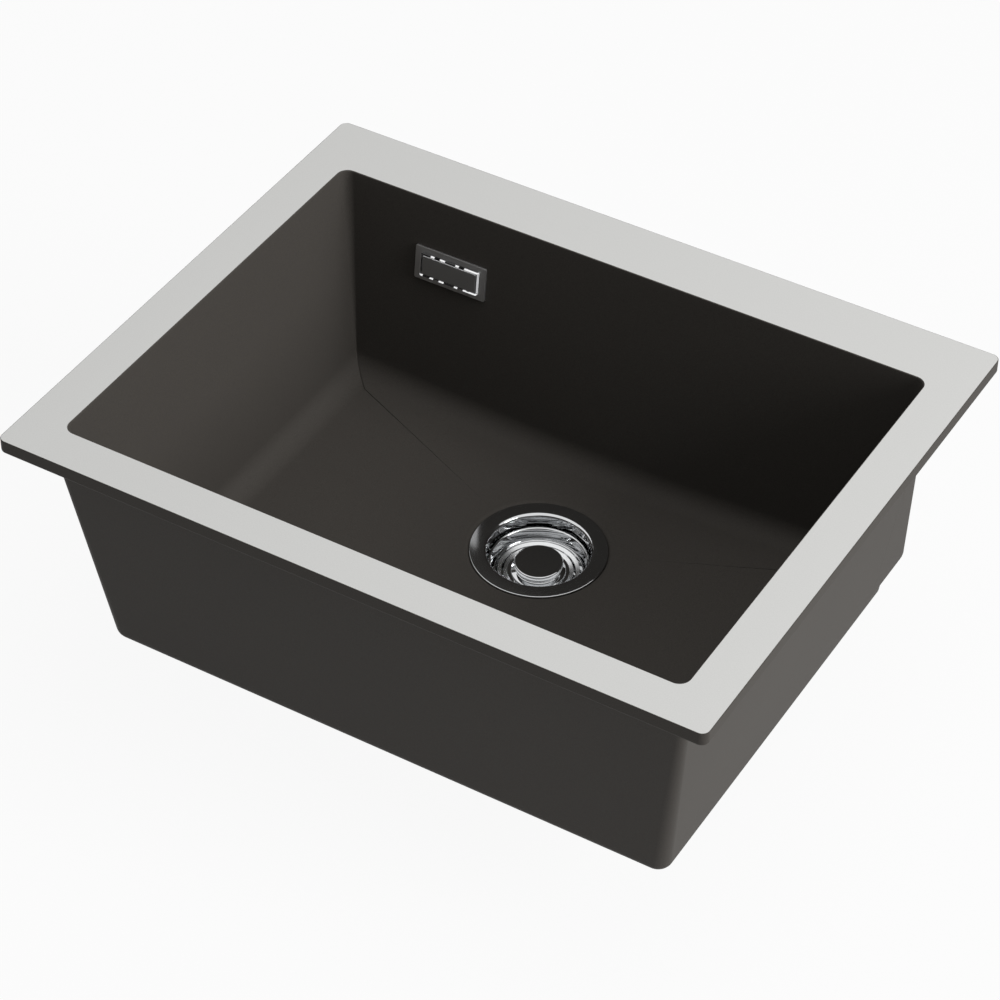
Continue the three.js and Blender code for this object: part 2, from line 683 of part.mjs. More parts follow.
function overflowFrame() {
  const bezel = through(
    roundedRect(BEZEL_WIDTH, BEZEL_HEIGHT, BEZEL_CORNER, TRIM_STEPS), BEZEL_FRONT, BEZEL_BACK, TRIM_BEVEL,
  );
  const sleeve = through(
    roundedRect(SLEEVE_WIDTH, SLEEVE_HEIGHT, SLEEVE_CORNER, SLEEVE_STEPS), BEZEL_FRONT / 2, SLEEVE_END,
  );
  const boreCorner = SLEEVE_CORNER - SLEEVE_WALL;
  const bore = through(
    roundedRect(SLEEVE_INNER_WIDTH, SLEEVE_INNER_HEIGHT, boreCorner, SLEEVE_STEPS),
    BEZEL_FRONT - PAST, SLEEVE_END + PAST,
  );
  const shell = cutAway(joined(bezel, sleeve), bore);
  const half = SLEEVE_INNER_HEIGHT / 2 + SLEEVE_WALL / 2;
  return [-1, 1].reduce((whole, side) => {
    const x = (side * BRIDGE_SPACING) / 2;
    const bar = block(
      x - BRIDGE_WIDTH / 2, x + BRIDGE_WIDTH / 2,
      SLEEVE_END - BRIDGE_THICKNESS, SLEEVE_END, -half, half,
    );
    const hole = through(circlePath(SCREW_RADIUS + FIT_GAP, ROUND_SMALL, x), 0, SLEEVE_END + PAST);
    return whole.add(solid(bar)).subtract(solid(hole));
  }, shell);
}

// A raised bead with inlet notches; its small teeth carry the cover's edge.
function overflowGrille() {
  const innerWidth = GRILLE_WIDTH - 2 * GRILLE_BAR;
  const innerHeight = GRILLE_HEIGHT - 2 * GRILLE_BAR;
  const ring = cutAway(
    solid(through(
      roundedRect(GRILLE_WIDTH, GRILLE_HEIGHT, GRILLE_CORNER, SLEEVE_STEPS),
      GRILLE_FRONT, GRILLE_BACK, TRIM_BEVEL,
    )),
    through(
      roundedRect(innerWidth, innerHeight, GRILLE_INNER_CORNER, TRIM_STEPS),
      GRILLE_FRONT - PAST, GRILLE_BACK + PAST,
    ),
  );
  const toothLength = (GRILLE_HEIGHT - COVER_HEIGHT) / 2 - SEAT_GAP;
  const inner = COVER_HEIGHT / 2 + SEAT_GAP;
  return [-1, 1].reduce((whole, side) => {
    const [notchLow, notchHigh] = span(side * inner, side * GRILLE_HEIGHT);
    const notched = [-GRILLE_NOTCH_PITCH, GRILLE_NOTCH_PITCH].reduce((left, x) => left.subtract(solid(block(
      x - GRILLE_NOTCH / 2, x + GRILLE_NOTCH / 2, GRILLE_FRONT - PAST, GRILLE_BACK - GRILLE_WEB,
      notchLow, notchHigh,
    ))), whole);
    const [toothLow, toothHigh] = span(side * inner, side * (inner + toothLength - GRILLE_BAR / 2));
    return [-GRILLE_TOOTH_PITCH, 0, GRILLE_TOOTH_PITCH].reduce((left, x) => left.add(solid(block(
      x - GRILLE_TOOTH / 2, x + GRILLE_TOOTH / 2, GRILLE_FRONT + GRILLE_TOOTH_SETBACK, GRILLE_BACK,
      toothLow, toothHigh,
    ))), notched);
  }, ring);
}

function overflowCover() {
  const plate = through(
    roundedRect(COVER_WIDTH, COVER_HEIGHT, COVER_CORNER, TRIM_STEPS), COVER_FRONT, COVER_BACK, COVER_BEVEL,
  );
  const clips = [-1, 1].map((side) => {
    const outer = side * (SLEEVE_INNER_HEIGHT / 2 - SEAT_GAP);
    const [low, high] = span(outer, outer - side * CLIP_THICKNESS);
    return block(
      -CLIP_WIDTH / 2, CLIP_WIDTH / 2, COVER_BACK - COVER_THICKNESS / 2, COVER_BACK + CLIP_LENGTH, low, high,
    );
  });
  return joined(plate, ...clips);
}

// Pan-head screw along +Z, its head's seat at z = 0 and its shank going up.
function panScrew() {
  const outline = [
    [0, -SCREW_HEAD_HEIGHT],
    [SCREW_CROWN_RADIUS, -SCREW_HEAD_HEIGHT],
    [SCREW_HEAD_RADIUS, SCREW_CROWN_HEIGHT - SCREW_HEAD_HEIGHT],
    [SCREW_HEAD_RADIUS, 0],
    [SCREW_RADIUS, 0],
    [SCREW_RADIUS, SCREW_LENGTH - SCREW_RADIUS],
    [0, SCREW_LENGTH],
  ];
  const slot = SCREW_SLOT / 2;
  const reach = SCREW_SLOT_REACH;
  const [above, depth] = [-SCREW_HEAD_HEIGHT - PAST, SCREW_SLOT_DEPTH - SCREW_HEAD_HEIGHT];
  return cutAway(
    solid(revolve(outline, ROUND_SMALL)),
    block(-slot, slot, -reach, reach, above, depth),
    block(-reach, reach, -slot, slot, above, depth),
  );
}

function overflowGasket() {
  const outline = roundedRect(ELBOW_FLANGE_WIDTH, ELBOW_FLANGE_HEIGHT, SLEEVE_CORNER, SLEEVE_STEPS);
  const corner = SLEEVE_CORNER - SLEEVE_WALL;
  outline.holes.push(roundedRect(SLEEVE_INNER_WIDTH, SLEEVE_INNER_HEIGHT, corner, SLEEVE_STEPS));
  return through(outline, GASKET_FRONT, GASKET_FRONT + GASKET_THICKNESS);
}

// A hopper that narrows away from the wall and drops into a round spigot.
function overflowElbow() {
  const frame = (width, height, y) => (
    roundedRect(width, height, SLEEVE_CORNER, TRIM_STEPS).getPoints().map((point) => (
      v3(point.x, y, point.y)
    ))
  );
  const mouth = ELBOW_FACE + ELBOW_FLANGE_THICKNESS;
  const outerMouth = [SLEEVE_INNER_WIDTH + 2 * ELBOW_WALL, SLEEVE_INNER_HEIGHT + 2 * ELBOW_WALL];
  const flange = through(
    roundedRect(ELBOW_FLANGE_WIDTH, ELBOW_FLANGE_HEIGHT, SLEEVE_CORNER, SLEEVE_STEPS), ELBOW_FACE, mouth,
  );
  const rear = (inset, y) => frame(ELBOW_REAR_WIDTH - 2 * inset, ELBOW_REAR_HEIGHT - 2 * inset, y);
  const shoulder = ELBOW_REAR_FACE - ELBOW_REAR_CHAMFER;
  const hopper = loft([
    frame(...outerMouth, mouth - ELBOW_FLANGE_THICKNESS / 2),
    frame(...outerMouth, mouth + ELBOW_NECK),
    rear(0, shoulder),
    rear(ELBOW_REAR_CHAMFER, ELBOW_REAR_FACE),
  ]);
  const spigot = cylinder(SPIGOT_RADIUS, -ELBOW_SPIGOT_END, 0).translate(0, ELBOW_AXIS, 0);
  const inside = loft([
    frame(SLEEVE_INNER_WIDTH, SLEEVE_INNER_HEIGHT, ELBOW_FACE - PAST),
    frame(SLEEVE_INNER_WIDTH, SLEEVE_INNER_HEIGHT, mouth + ELBOW_NECK),
    rear(ELBOW_WALL, shoulder - ELBOW_WALL / 2),
    rear(ELBOW_WALL + ELBOW_REAR_CHAMFER, ELBOW_REAR_FACE - ELBOW_WALL),
  ]);
  const shell = cutAway(joined(flange, hopper, spigot), inside, spigotBore(ELBOW_SPIGOT_END)
    .rotateX(Math.PI).translate(0, ELBOW_AXIS, -ELBOW_SPIGOT_END));
  return [-1, 1].reduce((whole, side) => {
    const x = (side * BRIDGE_SPACING) / 2;
    const bossEnd = SLEEVE_END + SCREW_LENGTH;
    const boss = through(circlePath(SCREW_BOSS_RADIUS, ROUND_SMALL, x), ELBOW_FACE, bossEnd);
    const web = block(
      x - ELBOW_WEB_THICKNESS / 2, x + ELBOW_WEB_THICKNESS / 2,
      ELBOW_FACE, ELBOW_FACE + ELBOW_WEB_DEPTH, 0, (SLEEVE_INNER_HEIGHT + ELBOW_WALL) / 2,
    );
    const pilotPath = circlePath(SCREW_RADIUS + FIT_GAP, ROUND_SMALL, x);
    const pilot = through(pilotPath, ELBOW_FACE - PAST, bossEnd - ELBOW_WALL);
    return whole.add(solid(boss)).add(solid(web)).subtract(solid(pilot));
  }, shell);
}

// ------------------------------------------------------------------ pipe joints

// Bore of a spigot that ends at z = 0 and is entered from there: a socket, then a bore.
function spigotBore(length) {
  return revolve([
    [0, -length - PAST],
    [SPIGOT_BORE_RADIUS, -length - PAST],
    [SPIGOT_BORE_RADIUS, -SPIGOT_SOCKET],
    [PIPE_SOCKET_RADIUS, -SPIGOT_SOCKET],
    [PIPE_SOCKET_RADIUS, PAST],
    [0, PAST],
  ], ROUND_MEDIUM);
}

const NUT_SEAT = SEAT_GAP + SEAL_LENGTH + SEAT_GAP;

// Compression nut on a spigot that ends at z = 0, with the pipe leaving along +Z.
function pipeNut() {
  const end = NUT_SEAT + NUT_END_WALL;
  const body = solid(revolve([
    [NUT_BORE, -NUT_BACK],
    [NUT_RADIUS, -NUT_BACK],
    [NUT_RADIUS, end - NUT_CHAMFER],
    [NUT_RADIUS - NUT_CHAMFER, end],
    [PIPE_SOCKET_RADIUS, end],
    [PIPE_SOCKET_RADIUS, NUT_SEAT],
    [NUT_BORE, NUT_SEAT],
  ], ROUND_MEDIUM));
  return Array.from({ length: NUT_RIBS }, (_, k) => (
    block(NUT_RADIUS - NUT_RIB_HEIGHT, NUT_RADIUS + NUT_RIB_HEIGHT, -NUT_RIB_WIDTH / 2, NUT_RIB_WIDTH / 2,
      -NUT_BACK, end - 2 * NUT_CHAMFER)
      .rotateZ((2 * Math.PI * k) / NUT_RIBS)
  )).reduce((whole, rib) => whole.add(solid(rib)), body);
}

// Wedge-section ring that the nut squeezes between spigot and pipe.
function pipeSeal() {
  return revolve([
    [PIPE_SOCKET_RADIUS, SEAT_GAP],
    [SPIGOT_RADIUS - SEAL_TAPER, SEAT_GAP],
    [SPIGOT_RADIUS, SEAT_GAP + SEAL_TIP],
    [SPIGOT_RADIUS, SEAT_GAP + SEAL_LENGTH],
    [PIPE_SOCKET_RADIUS, SEAT_GAP + SEAL_LENGTH],
  ], ROUND_MEDIUM);
}

// Sizes of the waste that follow from its dish and from the hole in the floor.
const THROAT_RADIUS = DRAIN_HOLE_RADIUS - THROAT_CLEARANCE;
const DISH_SEAT_RADIUS = THROAT_RADIUS - DISH_HEEL_RADIUS;
const HUB_RADIUS = CLAMP_HEAD_RADIUS + HUB_MARGIN;
const CUP_RADIUS = DRAIN_HOLE_RADIUS - CUP_STEP_IN;
const CUP_RIM_RADIUS = DRAIN_HOLE_RADIUS + CUP_RIM_OVERHANG;
const CUP_DEPTH = DISH_DEPTH + CUP_BELOW_DISH;
const HUB_TOP = DISH_DEPTH + HUB_BELOW_DISH;
const HUB_FOOT = HUB_TOP + HUB_HEIGHT;
const HUB_BOSS_RADIUS = INSERT_ACROSS_FLATS / Math.sqrt(3) + HUB_BOSS_WALL;
const OUTLET_RADIUS = OUTLET_BORE_RADIUS + OUTLET_WALL;
const OUTLET_END = CUP_DEPTH + CUP_CONE_HEIGHT + OUTLET_LENGTH;
const SPIGOT_DEPTH = CUP_DEPTH - SPIGOT_ABOVE_CUP_FLOOR;
const SPIGOT_REACH = CUP_RADIUS + SPIGOT_LENGTH;

// Where the pipe runs: down from the elbow's mouth in line with the wall, one bend, and
// level under the base to the waste's spigot.
const DOWN = v3(0, 0, -1).transformDirection(overflow.matrixWorld);
const ELBOW_MOUTH = v3(0, ELBOW_AXIS, -ELBOW_SPIGOT_END).applyMatrix4(overflow.matrixWorld);
const PIPE_LEVEL = DRAIN_Z - SPIGOT_DEPTH;
const PIPE_CORNER = ELBOW_MOUTH.clone().addScaledVector(DOWN, (PIPE_LEVEL - ELBOW_MOUTH.z) / DOWN.z);
const SPIGOT_OUT = v3(PIPE_CORNER.x, PIPE_CORNER.y - DRAIN_Y, 0).normalize();
const SPIGOT_MOUTH = v3(0, DRAIN_Y, PIPE_LEVEL).addScaledVector(SPIGOT_OUT, SPIGOT_REACH);

function pipeRoute() {
  const ahead = SPIGOT_OUT.clone().negate();
  const bend = DOWN.angleTo(ahead);
  const tangent = PIPE_BEND_RADIUS * Math.tan(bend / 2);
  const start = ELBOW_MOUTH.clone().addScaledVector(DOWN, SEAT_GAP - SPIGOT_SOCKET);
  const finishPoint = SPIGOT_MOUTH.clone().addScaledVector(SPIGOT_OUT, SEAT_GAP - SPIGOT_SOCKET);
  const bendStart = PIPE_CORNER.clone().addScaledVector(DOWN, -tangent);
  const across = ahead.clone().addScaledVector(DOWN, -ahead.dot(DOWN)).normalize();
  const centre = bendStart.clone().addScaledVector(across, PIPE_BEND_RADIUS);
  const curve = Array.from({ length: PIPE_BEND_STEPS + 1 }, (_, k) => {
    const turn = (bend * k) / PIPE_BEND_STEPS;
    const point = centre.clone()
      .addScaledVector(across, -PIPE_BEND_RADIUS * Math.cos(turn))
      .addScaledVector(DOWN, PIPE_BEND_RADIUS * Math.sin(turn));
    const heading = DOWN.clone().multiplyScalar(Math.cos(turn)).addScaledVector(across, Math.sin(turn));
    return { point, heading };
  });
  return [{ point: start, heading: DOWN }, ...curve, { point: finishPoint, heading: ahead }];
}

function roundAlong(route, radius, stretch) {
  const side = DOWN.clone().cross(SPIGOT_OUT).normalize();
  const rings = route.map(({ point, heading }, k) => {
    const up = heading.clone().cross(side).normalize();
    const shift = { 0: -stretch, [route.length - 1]: stretch }[k] ?? 0;
    const centre = point.clone().addScaledVector(heading, shift);
    return Array.from({ length: ROUND_SMALL }, (_, n) => {
      const angle = (2 * Math.PI * n) / ROUND_SMALL;
      return centre.clone()
        .addScaledVector(side, radius * Math.cos(angle))
        .addScaledVector(up, radius * Math.sin(angle));
    });
  });
  return loft(rings);
}

function overflowPipe() {
  const route = pipeRoute();
  return cutAway(solid(roundAlong(route, PIPE_RADIUS, 0)), roundAlong(route, PIPE_RADIUS - PIPE_WALL, PAST));
}

// ------------------------------------------------------------------ strainer waste

// All of the waste is drawn about the drain's axis, with z = 0 on its ring's top face.
const waste = new THREE.Group();
waste.position.set(0, DRAIN_Y, DRAIN_Z);
waste.updateMatrixWorld(true);

const RECESS_FLOOR = -RECESS_DEPTH;
const COMPOSITE_UNDERSIDE = -RECESS_DEPTH - CLAMP_THICKNESS;
const CLAMP_GASKET_TOP = COMPOSITE_UNDERSIDE - SEAT_GAP;
const CUP_RIM_TOP = CLAMP_GASKET_TOP - GASKET_THICKNESS - SEAT_GAP;
const CLAMP_HEAD_SEAT = -DISH_DEPTH + SEAT_GAP;
const CLAMP_HEAD_TOP = CLAMP_HEAD_SEAT + CLAMP_HEAD_HEIGHT;
const HUB_HOLE_RADIUS = CLAMP_SCREW_RADIUS + FIT_GAP;

// A drawn steel dish: rounded outer lip, flat ring, straight throat and a flat seat.
function strainerFlange() {
  const skirt = [RING_RADIUS, -RING_SKIRT];
  const lip = arc(RING_RADIUS - RING_LIP_RADIUS, -RING_LIP_RADIUS, RING_LIP_RADIUS, 0, 90, PRESSED_STEPS);
  const edge = THROAT_RADIUS + THROAT_EDGE_RADIUS;
  const throat = arc(edge, -THROAT_EDGE_RADIUS, THROAT_EDGE_RADIUS, 90, 180, THROAT_STEPS);
  const heel = arc(DISH_SEAT_RADIUS, -DISH_DEPTH + DISH_HEEL_RADIUS, DISH_HEEL_RADIUS, 0, -90,
    PRESSED_STEPS);
  const outline = thicken([skirt, ...lip, ...throat, ...heel, [HUB_HOLE_RADIUS, -DISH_DEPTH]], SHEET);
  const dish = solid(revolve(outline, ROUND_LARGE));
  return Array.from({ length: DISH_SPOKES }, (_, k) => {
    const window = circlePath(PORT_RADIUS, ROUND_SMALL);
    window.holes.push(circlePath(HUB_RADIUS, ROUND_SMALL));
    const sector = solid(extrude(window, -DISH_DEPTH - SHEET - PAST, -DISH_DEPTH + PAST));
    const from = (2 * Math.PI * k) / DISH_SPOKES;
    const far = 2 * PORT_RADIUS;
    const wedge = new THREE.Shape([
      v2(0, 0),
      v2(far * Math.cos(from), far * Math.sin(from)),
      v2(far * Math.cos(from + Math.PI / 3), far * Math.sin(from + Math.PI / 3)),
      v2(far * Math.cos(from + (2 * Math.PI) / 3), far * Math.sin(from + (2 * Math.PI) / 3)),
    ]);
    const slice = extrude(wedge, -DISH_DEPTH - SHEET - PAST, -DISH_DEPTH + PAST);
    const spoke = (turn) => block(0, far, -DISH_SPOKE_WIDTH / 2, DISH_SPOKE_WIDTH / 2,
      -DISH_DEPTH - 2 * SHEET, -DISH_DEPTH + 2 * PAST).rotateZ(turn);
    return cutAway(sector.intersect(solid(slice)), spoke(from), spoke(from + (2 * Math.PI) / DISH_SPOKES));
  }).reduce((left, window) => left.subtract(window), dish);
}

function ringWasher(inner, outer, from, to, segments = ROUND_LARGE) {
  return revolve([[inner, from], [outer, from], [outer, to], [inner, to]], segments);
}

function flangeGasket() {
  const outer = RING_RADIUS - SHEET - 2 * SEAT_GAP;
  return ringWasher(outer - FLANGE_GASKET_WIDTH, outer, RECESS_FLOOR + SEAT_GAP, -SHEET - SEAT_GAP);
}

function clampGasket() {
  const [inner, outer] = [DRAIN_HOLE_RADIUS + CLAMP_GASKET_INSET, CUP_RIM_RADIUS - CLAMP_GASKET_INSET];
  return ringWasher(inner, outer, CUP_RIM_TOP + SEAT_GAP, CLAMP_GASKET_TOP);
}

function wasteBody() {
  const coneEnd = -CUP_DEPTH - CUP_CONE_HEIGHT;
  const outside = solid(revolve([
    [0, CUP_RIM_TOP],
    [CUP_RIM_RADIUS, CUP_RIM_TOP],
    [CUP_RIM_RADIUS, CUP_RIM_TOP - CUP_RIM_THICKNESS],
    [CUP_RADIUS + CUP_WALL, CUP_RIM_TOP - CUP_RIM_THICKNESS],
    [CUP_RADIUS + CUP_WALL, -CUP_DEPTH - CUP_CONE_DROP],
    [OUTLET_RADIUS, coneEnd - 2 * CUP_CONE_DROP],
    [OUTLET_RADIUS, -OUTLET_END],
    [0, -OUTLET_END],
  ], ROUND_LARGE));
  const inside = revolve([
    [0, CUP_RIM_TOP + PAST],
    [CUP_RADIUS, CUP_RIM_TOP + PAST],
    [CUP_RADIUS, -CUP_DEPTH],
    [OUTLET_BORE_RADIUS, coneEnd],
    [OUTLET_BORE_RADIUS, -OUTLET_END - PAST],
    [0, -OUTLET_END - PAST],
  ], ROUND_LARGE);
  const turn = Math.atan2(SPIGOT_OUT.y, SPIGOT_OUT.x);
  const aim = (geometry) => geometry.rotateY(Math.PI / 2).rotateZ(turn)
    .translate(SPIGOT_REACH * SPIGOT_OUT.x, SPIGOT_REACH * SPIGOT_OUT.y, -SPIGOT_DEPTH);
  const spigot = solid(aim(cylinder(SPIGOT_RADIUS, -SPIGOT_LENGTH, 0)));
  const shell = cutAway(outside.add(spigot), inside, aim(spigotBore(SPIGOT_LENGTH + CUP_WALL)));
  const ribs = Array.from({ length: HUB_RIBS }, (_, k) => (
    block(0, CUP_RADIUS + CUP_WALL / 2, -HUB_RIB_THICKNESS / 2, HUB_RIB_THICKNESS / 2,
      -HUB_FOOT + HUB_RIB_SETBACK, -HUB_TOP - HUB_RIB_SETBACK)
      .rotateZ((2 * Math.PI * (k + 0.5)) / HUB_RIBS + turn)
  ));
  const cross = joined(...ribs).intersect(outside);
  const hub = cylinder(HUB_BOSS_RADIUS, -HUB_FOOT, -HUB_TOP);
  const passage = cylinder(HUB_HOLE_RADIUS, -HUB_FOOT - PAST, -HUB_TOP + PAST);
  const nestWidth = INSERT_ACROSS_FLATS + 2 * FIT_GAP;
  const nest = insertPrism(nestWidth, -HUB_FOOT - PAST, -HUB_FOOT + INSERT_HEIGHT + SEAT_GAP);
  return cutAway(shell.add(cross).add(solid(hub)), passage, nest);
}

function insertPrism(acrossFlats, from, to) {
  return cylinder(acrossFlats / Math.sqrt(3), from, to, 6);
}

function insertNut() {
  const foot = -HUB_FOOT;
  return cutAway(
    solid(insertPrism(INSERT_ACROSS_FLATS, foot, foot + INSERT_HEIGHT)),
    cylinder(HUB_HOLE_RADIUS, foot - PAST, foot + INSERT_HEIGHT + PAST, ROUND_MEDIUM),
  );
}

// Hollow screw that clamps dish to cup and guides the basket's stem.
function clampScrew() {
  const foot = -HUB_FOOT + CLAMP_SCREW_SHORTFALL;
  const outline = [
    [CLAMP_SCREW_BORE, foot],
    [CLAMP_SCREW_RADIUS - CLAMP_CHAMFER, foot],
    [CLAMP_SCREW_RADIUS, foot + CLAMP_CHAMFER],
    [CLAMP_SCREW_RADIUS, CLAMP_HEAD_SEAT],
    [CLAMP_HEAD_RADIUS, CLAMP_HEAD_SEAT],
    [CLAMP_HEAD_RADIUS, CLAMP_HEAD_TOP - CLAMP_CHAMFER],
    [CLAMP_HEAD_RADIUS - CLAMP_CHAMFER, CLAMP_HEAD_TOP],
    [CLAMP_COUNTERBORE, CLAMP_HEAD_TOP],
    [CLAMP_COUNTERBORE, CLAMP_HEAD_TOP - CLAMP_COUNTERBORE_DEPTH],
    [CLAMP_SCREW_BORE, CLAMP_HEAD_TOP - CLAMP_COUNTERBORE_DEPTH],
  ];
  const slot = block(-CLAMP_HEAD_RADIUS - PAST, CLAMP_HEAD_RADIUS + PAST, -CLAMP_SLOT / 2, CLAMP_SLOT / 2,
    CLAMP_HEAD_TOP - CLAMP_SLOT_DEPTH, CLAMP_HEAD_TOP + PAST);
  return cutAway(solid(revolve(outline, ROUND_MEDIUM)), slot);
}

// ------------------------------------------------------------------ strainer basket

const BASKET_RIM_RADIUS = THROAT_RADIUS - BASKET_CLEARANCE;
const BASKET_WAIST_RADIUS = BASKET_RIM_RADIUS - BASKET_WAIST_STEP;
const BASKET_FLOOR_DEPTH = DISH_DEPTH - BASKET_ABOVE_SEAT;
const BASKET_WAIST_DEPTH = BASKET_FLOOR_DEPTH - BASKET_WAIST_HEIGHT;
const BASKET_UNDERSIDE = -BASKET_FLOOR_DEPTH - BASKET_SHEET;
const SEAL_TOP = BASKET_UNDERSIDE - SEAT_GAP;
const SEAL_DISC_FOOT = SEAL_TOP - SEAL_DISC_THICKNESS;
const SEAL_LIP_FOOT = -DISH_DEPTH + SEAT_GAP;
const SEAL_LIP_INNER = PORT_RADIUS + SEAL_LIP_OVERLAP;
const SEAL_LIP_OUTER = SEAL_LIP_INNER + SEAL_LIP_WIDTH;
const WASHER_TOP = SEAL_DISC_FOOT - SEAT_GAP;
const COLLAR_TOP = WASHER_TOP - WASHER_THICKNESS - SEAT_GAP;
const COLLET_TOP = COLLAR_TOP - STEM_COLLAR_HEIGHT - SEAT_GAP;
const COLLET_FOOT = COLLET_TOP - COLLET_LENGTH;
const COLLET_RADIUS = CLAMP_SCREW_BORE - COLLET_CLEARANCE;
const STEM_HOLE_RADIUS = STEM_RADIUS + FIT_GAP;
const KNOB_FOOT = -BASKET_FLOOR_DEPTH + SEAT_GAP;

// A slot that runs round the basket's floor, from one angle to another.
function arcSlot(radius, from, to) {
  const outline = [
    ...arc(0, 0, radius + SLOT_WIDTH / 2, from, to, SLOT_STEPS),
    ...arc(0, 0, radius - SLOT_WIDTH / 2, to, from, SLOT_STEPS),
  ];
  const shape = new THREE.Shape(outline.map(([x, y]) => v2(x, y)));
  return extrude(shape, BASKET_UNDERSIDE - PAST, -BASKET_FLOOR_DEPTH + PAST);
}

// A pressed cup with a rolled rim, and two rows of slots round its floor, outside its seal.
function strainerBasket() {
  const waist = v2(BASKET_WAIST_RADIUS, -BASKET_WAIST_DEPTH);
  const rim = v2(BASKET_RIM_RADIUS - BASKET_ROLL_RADIUS, -BASKET_RIM_DEPTH - BASKET_ROLL_RADIUS);
  const belly = v2(
    THREE.MathUtils.lerp(waist.x, rim.x, BASKET_BELLY_OUT),
    THREE.MathUtils.lerp(waist.y, rim.y, BASKET_BELLY_UP),
  );
  const inner = [
    [STEM_HOLE_RADIUS, -BASKET_FLOOR_DEPTH],
    [BASKET_WAIST_RADIUS - BASKET_CORNER, -BASKET_FLOOR_DEPTH],
    [BASKET_WAIST_RADIUS, -BASKET_FLOOR_DEPTH + BASKET_CORNER],
    waist.toArray(),
    belly.toArray(),
    ...arc(rim.x, rim.y, BASKET_ROLL_RADIUS, BASKET_ROLL_START, 0, PRESSED_STEPS),
  ];
  const cup = solid(revolve(thicken(inner, -BASKET_SHEET), ROUND_LARGE));
  const pitch = 360 / SLOTS_PER_ROW;
  const slots = SLOT_ROW_STEPS.flatMap((step, row) => {
    const radius = BASKET_WAIST_RADIUS - step;
    const bridge = THREE.MathUtils.radToDeg(SLOT_BRIDGE / radius);
    return Array.from({ length: SLOTS_PER_ROW }, (_, k) => {
      const from = (k + row / 2) * pitch;
      return arcSlot(radius, from + bridge / 2, from + pitch - bridge / 2);
    });
  });
  return cutAway(cup, ...slots);
}

function basketKnob() {
  const top = -KNOB_TOP_DEPTH;
  const height = top - KNOB_FOOT;
  return revolve([
    [0, top],
    [KNOB_RADIUS - KNOB_EDGE, top],
    ...arc(KNOB_RADIUS - KNOB_EDGE, top - KNOB_EDGE, KNOB_EDGE, 45, 0, 1),
    [KNOB_RADIUS, top - height * KNOB_SHOULDER_AT],
    [KNOB_WAIST_RADIUS, top - height * KNOB_WAIST_AT],
    [KNOB_WAIST_RADIUS + KNOB_FOOT_EDGE, top - height * KNOB_FLARE_AT],
    [KNOB_FOOT_RADIUS, KNOB_FOOT + KNOB_FOOT_EDGE],
    [KNOB_FOOT_RADIUS, KNOB_FOOT],
    [STEM_HOLE_RADIUS, KNOB_FOOT],
    [STEM_HOLE_RADIUS, KNOB_FOOT + STEM_IN_KNOB + SEAT_GAP],
    [0, KNOB_FOOT + STEM_IN_KNOB + SEAT_GAP],
  ], ROUND_LARGE);
}

function basketStem() {
  const headTop = COLLET_FOOT - SEAT_GAP;
  return revolve([
    [0, KNOB_FOOT + STEM_IN_KNOB],
    [STEM_RADIUS, KNOB_FOOT + STEM_IN_KNOB],
    [STEM_RADIUS, COLLAR_TOP],
    [STEM_COLLAR_RADIUS, COLLAR_TOP],
    [STEM_COLLAR_RADIUS, COLLAR_TOP - STEM_COLLAR_HEIGHT],
    [STEM_SHANK_RADIUS, COLLAR_TOP - STEM_COLLAR_HEIGHT],
    [STEM_SHANK_RADIUS, headTop],
    [STEM_RADIUS, headTop],
    [STEM_RADIUS, headTop - STEM_HEAD_HEIGHT + STEM_CHAMFER],
    [STEM_RADIUS - STEM_CHAMFER, headTop - STEM_HEAD_HEIGHT],
    [0, headTop - STEM_HEAD_HEIGHT],
  ], ROUND_SMALL);
}

function basketSeal() {
  return revolve([
    [STEM_HOLE_RADIUS, SEAL_TOP],
    [SEAL_LIP_OUTER - SEAL_CHAMFER, SEAL_TOP],
    [SEAL_LIP_OUTER, SEAL_TOP - SEAL_CHAMFER],
    [SEAL_LIP_OUTER, SEAL_LIP_FOOT + SEAL_CHAMFER],
    [SEAL_LIP_OUTER - SEAL_CHAMFER, SEAL_LIP_FOOT],
    [SEAL_LIP_INNER, SEAL_LIP_FOOT],
    [SEAL_LIP_INNER, SEAL_DISC_FOOT],
    [STEM_HOLE_RADIUS, SEAL_DISC_FOOT],
  ], ROUND_LARGE);
}

// Split sleeve of four springy fingers that grips inside the hollow screw.
function stemCollet() {
  const sleeve = solid(revolve([
    [STEM_SHANK_RADIUS + SEAT_GAP, COLLET_TOP],
    [COLLET_RADIUS, COLLET_TOP],
    [COLLET_RADIUS, COLLET_FOOT + 2 * COLLET_GROOVE_HEIGHT],
    [COLLET_RADIUS - COLLET_GROOVE, COLLET_FOOT + 1.5 * COLLET_GROOVE_HEIGHT],
    [COLLET_RADIUS, COLLET_FOOT + COLLET_GROOVE_HEIGHT],
    [COLLET_RADIUS - COLLET_NOSE, COLLET_FOOT],
    [STEM_SHANK_RADIUS + SEAT_GAP, COLLET_FOOT],
  ], ROUND_SMALL));
  return Array.from({ length: COLLET_FINGERS / 2 }, (_, k) => (
    block(-COLLET_RADIUS - PAST, COLLET_RADIUS + PAST, -COLLET_SLIT / 2, COLLET_SLIT / 2,
      COLLET_FOOT - PAST, COLLET_FOOT + COLLET_SLIT_LENGTH).rotateZ((2 * Math.PI * k) / COLLET_FINGERS)
  )).reduce((left, slit) => left.subtract(solid(slit)), sleeve);
}

// ------------------------------------------------------------------ the assembly

const sink = new THREE.Group();
sink.add(overflow, waste);

function piece(name, shape, material, parent = sink) {
  const geometry = shape.isBufferGeometry ? tidyMesh(shape) : toGeometry(shape);
  const mesh = new THREE.Mesh(geometry, material);
  mesh.name = name;
  parent.add(mesh);
  return mesh;
}

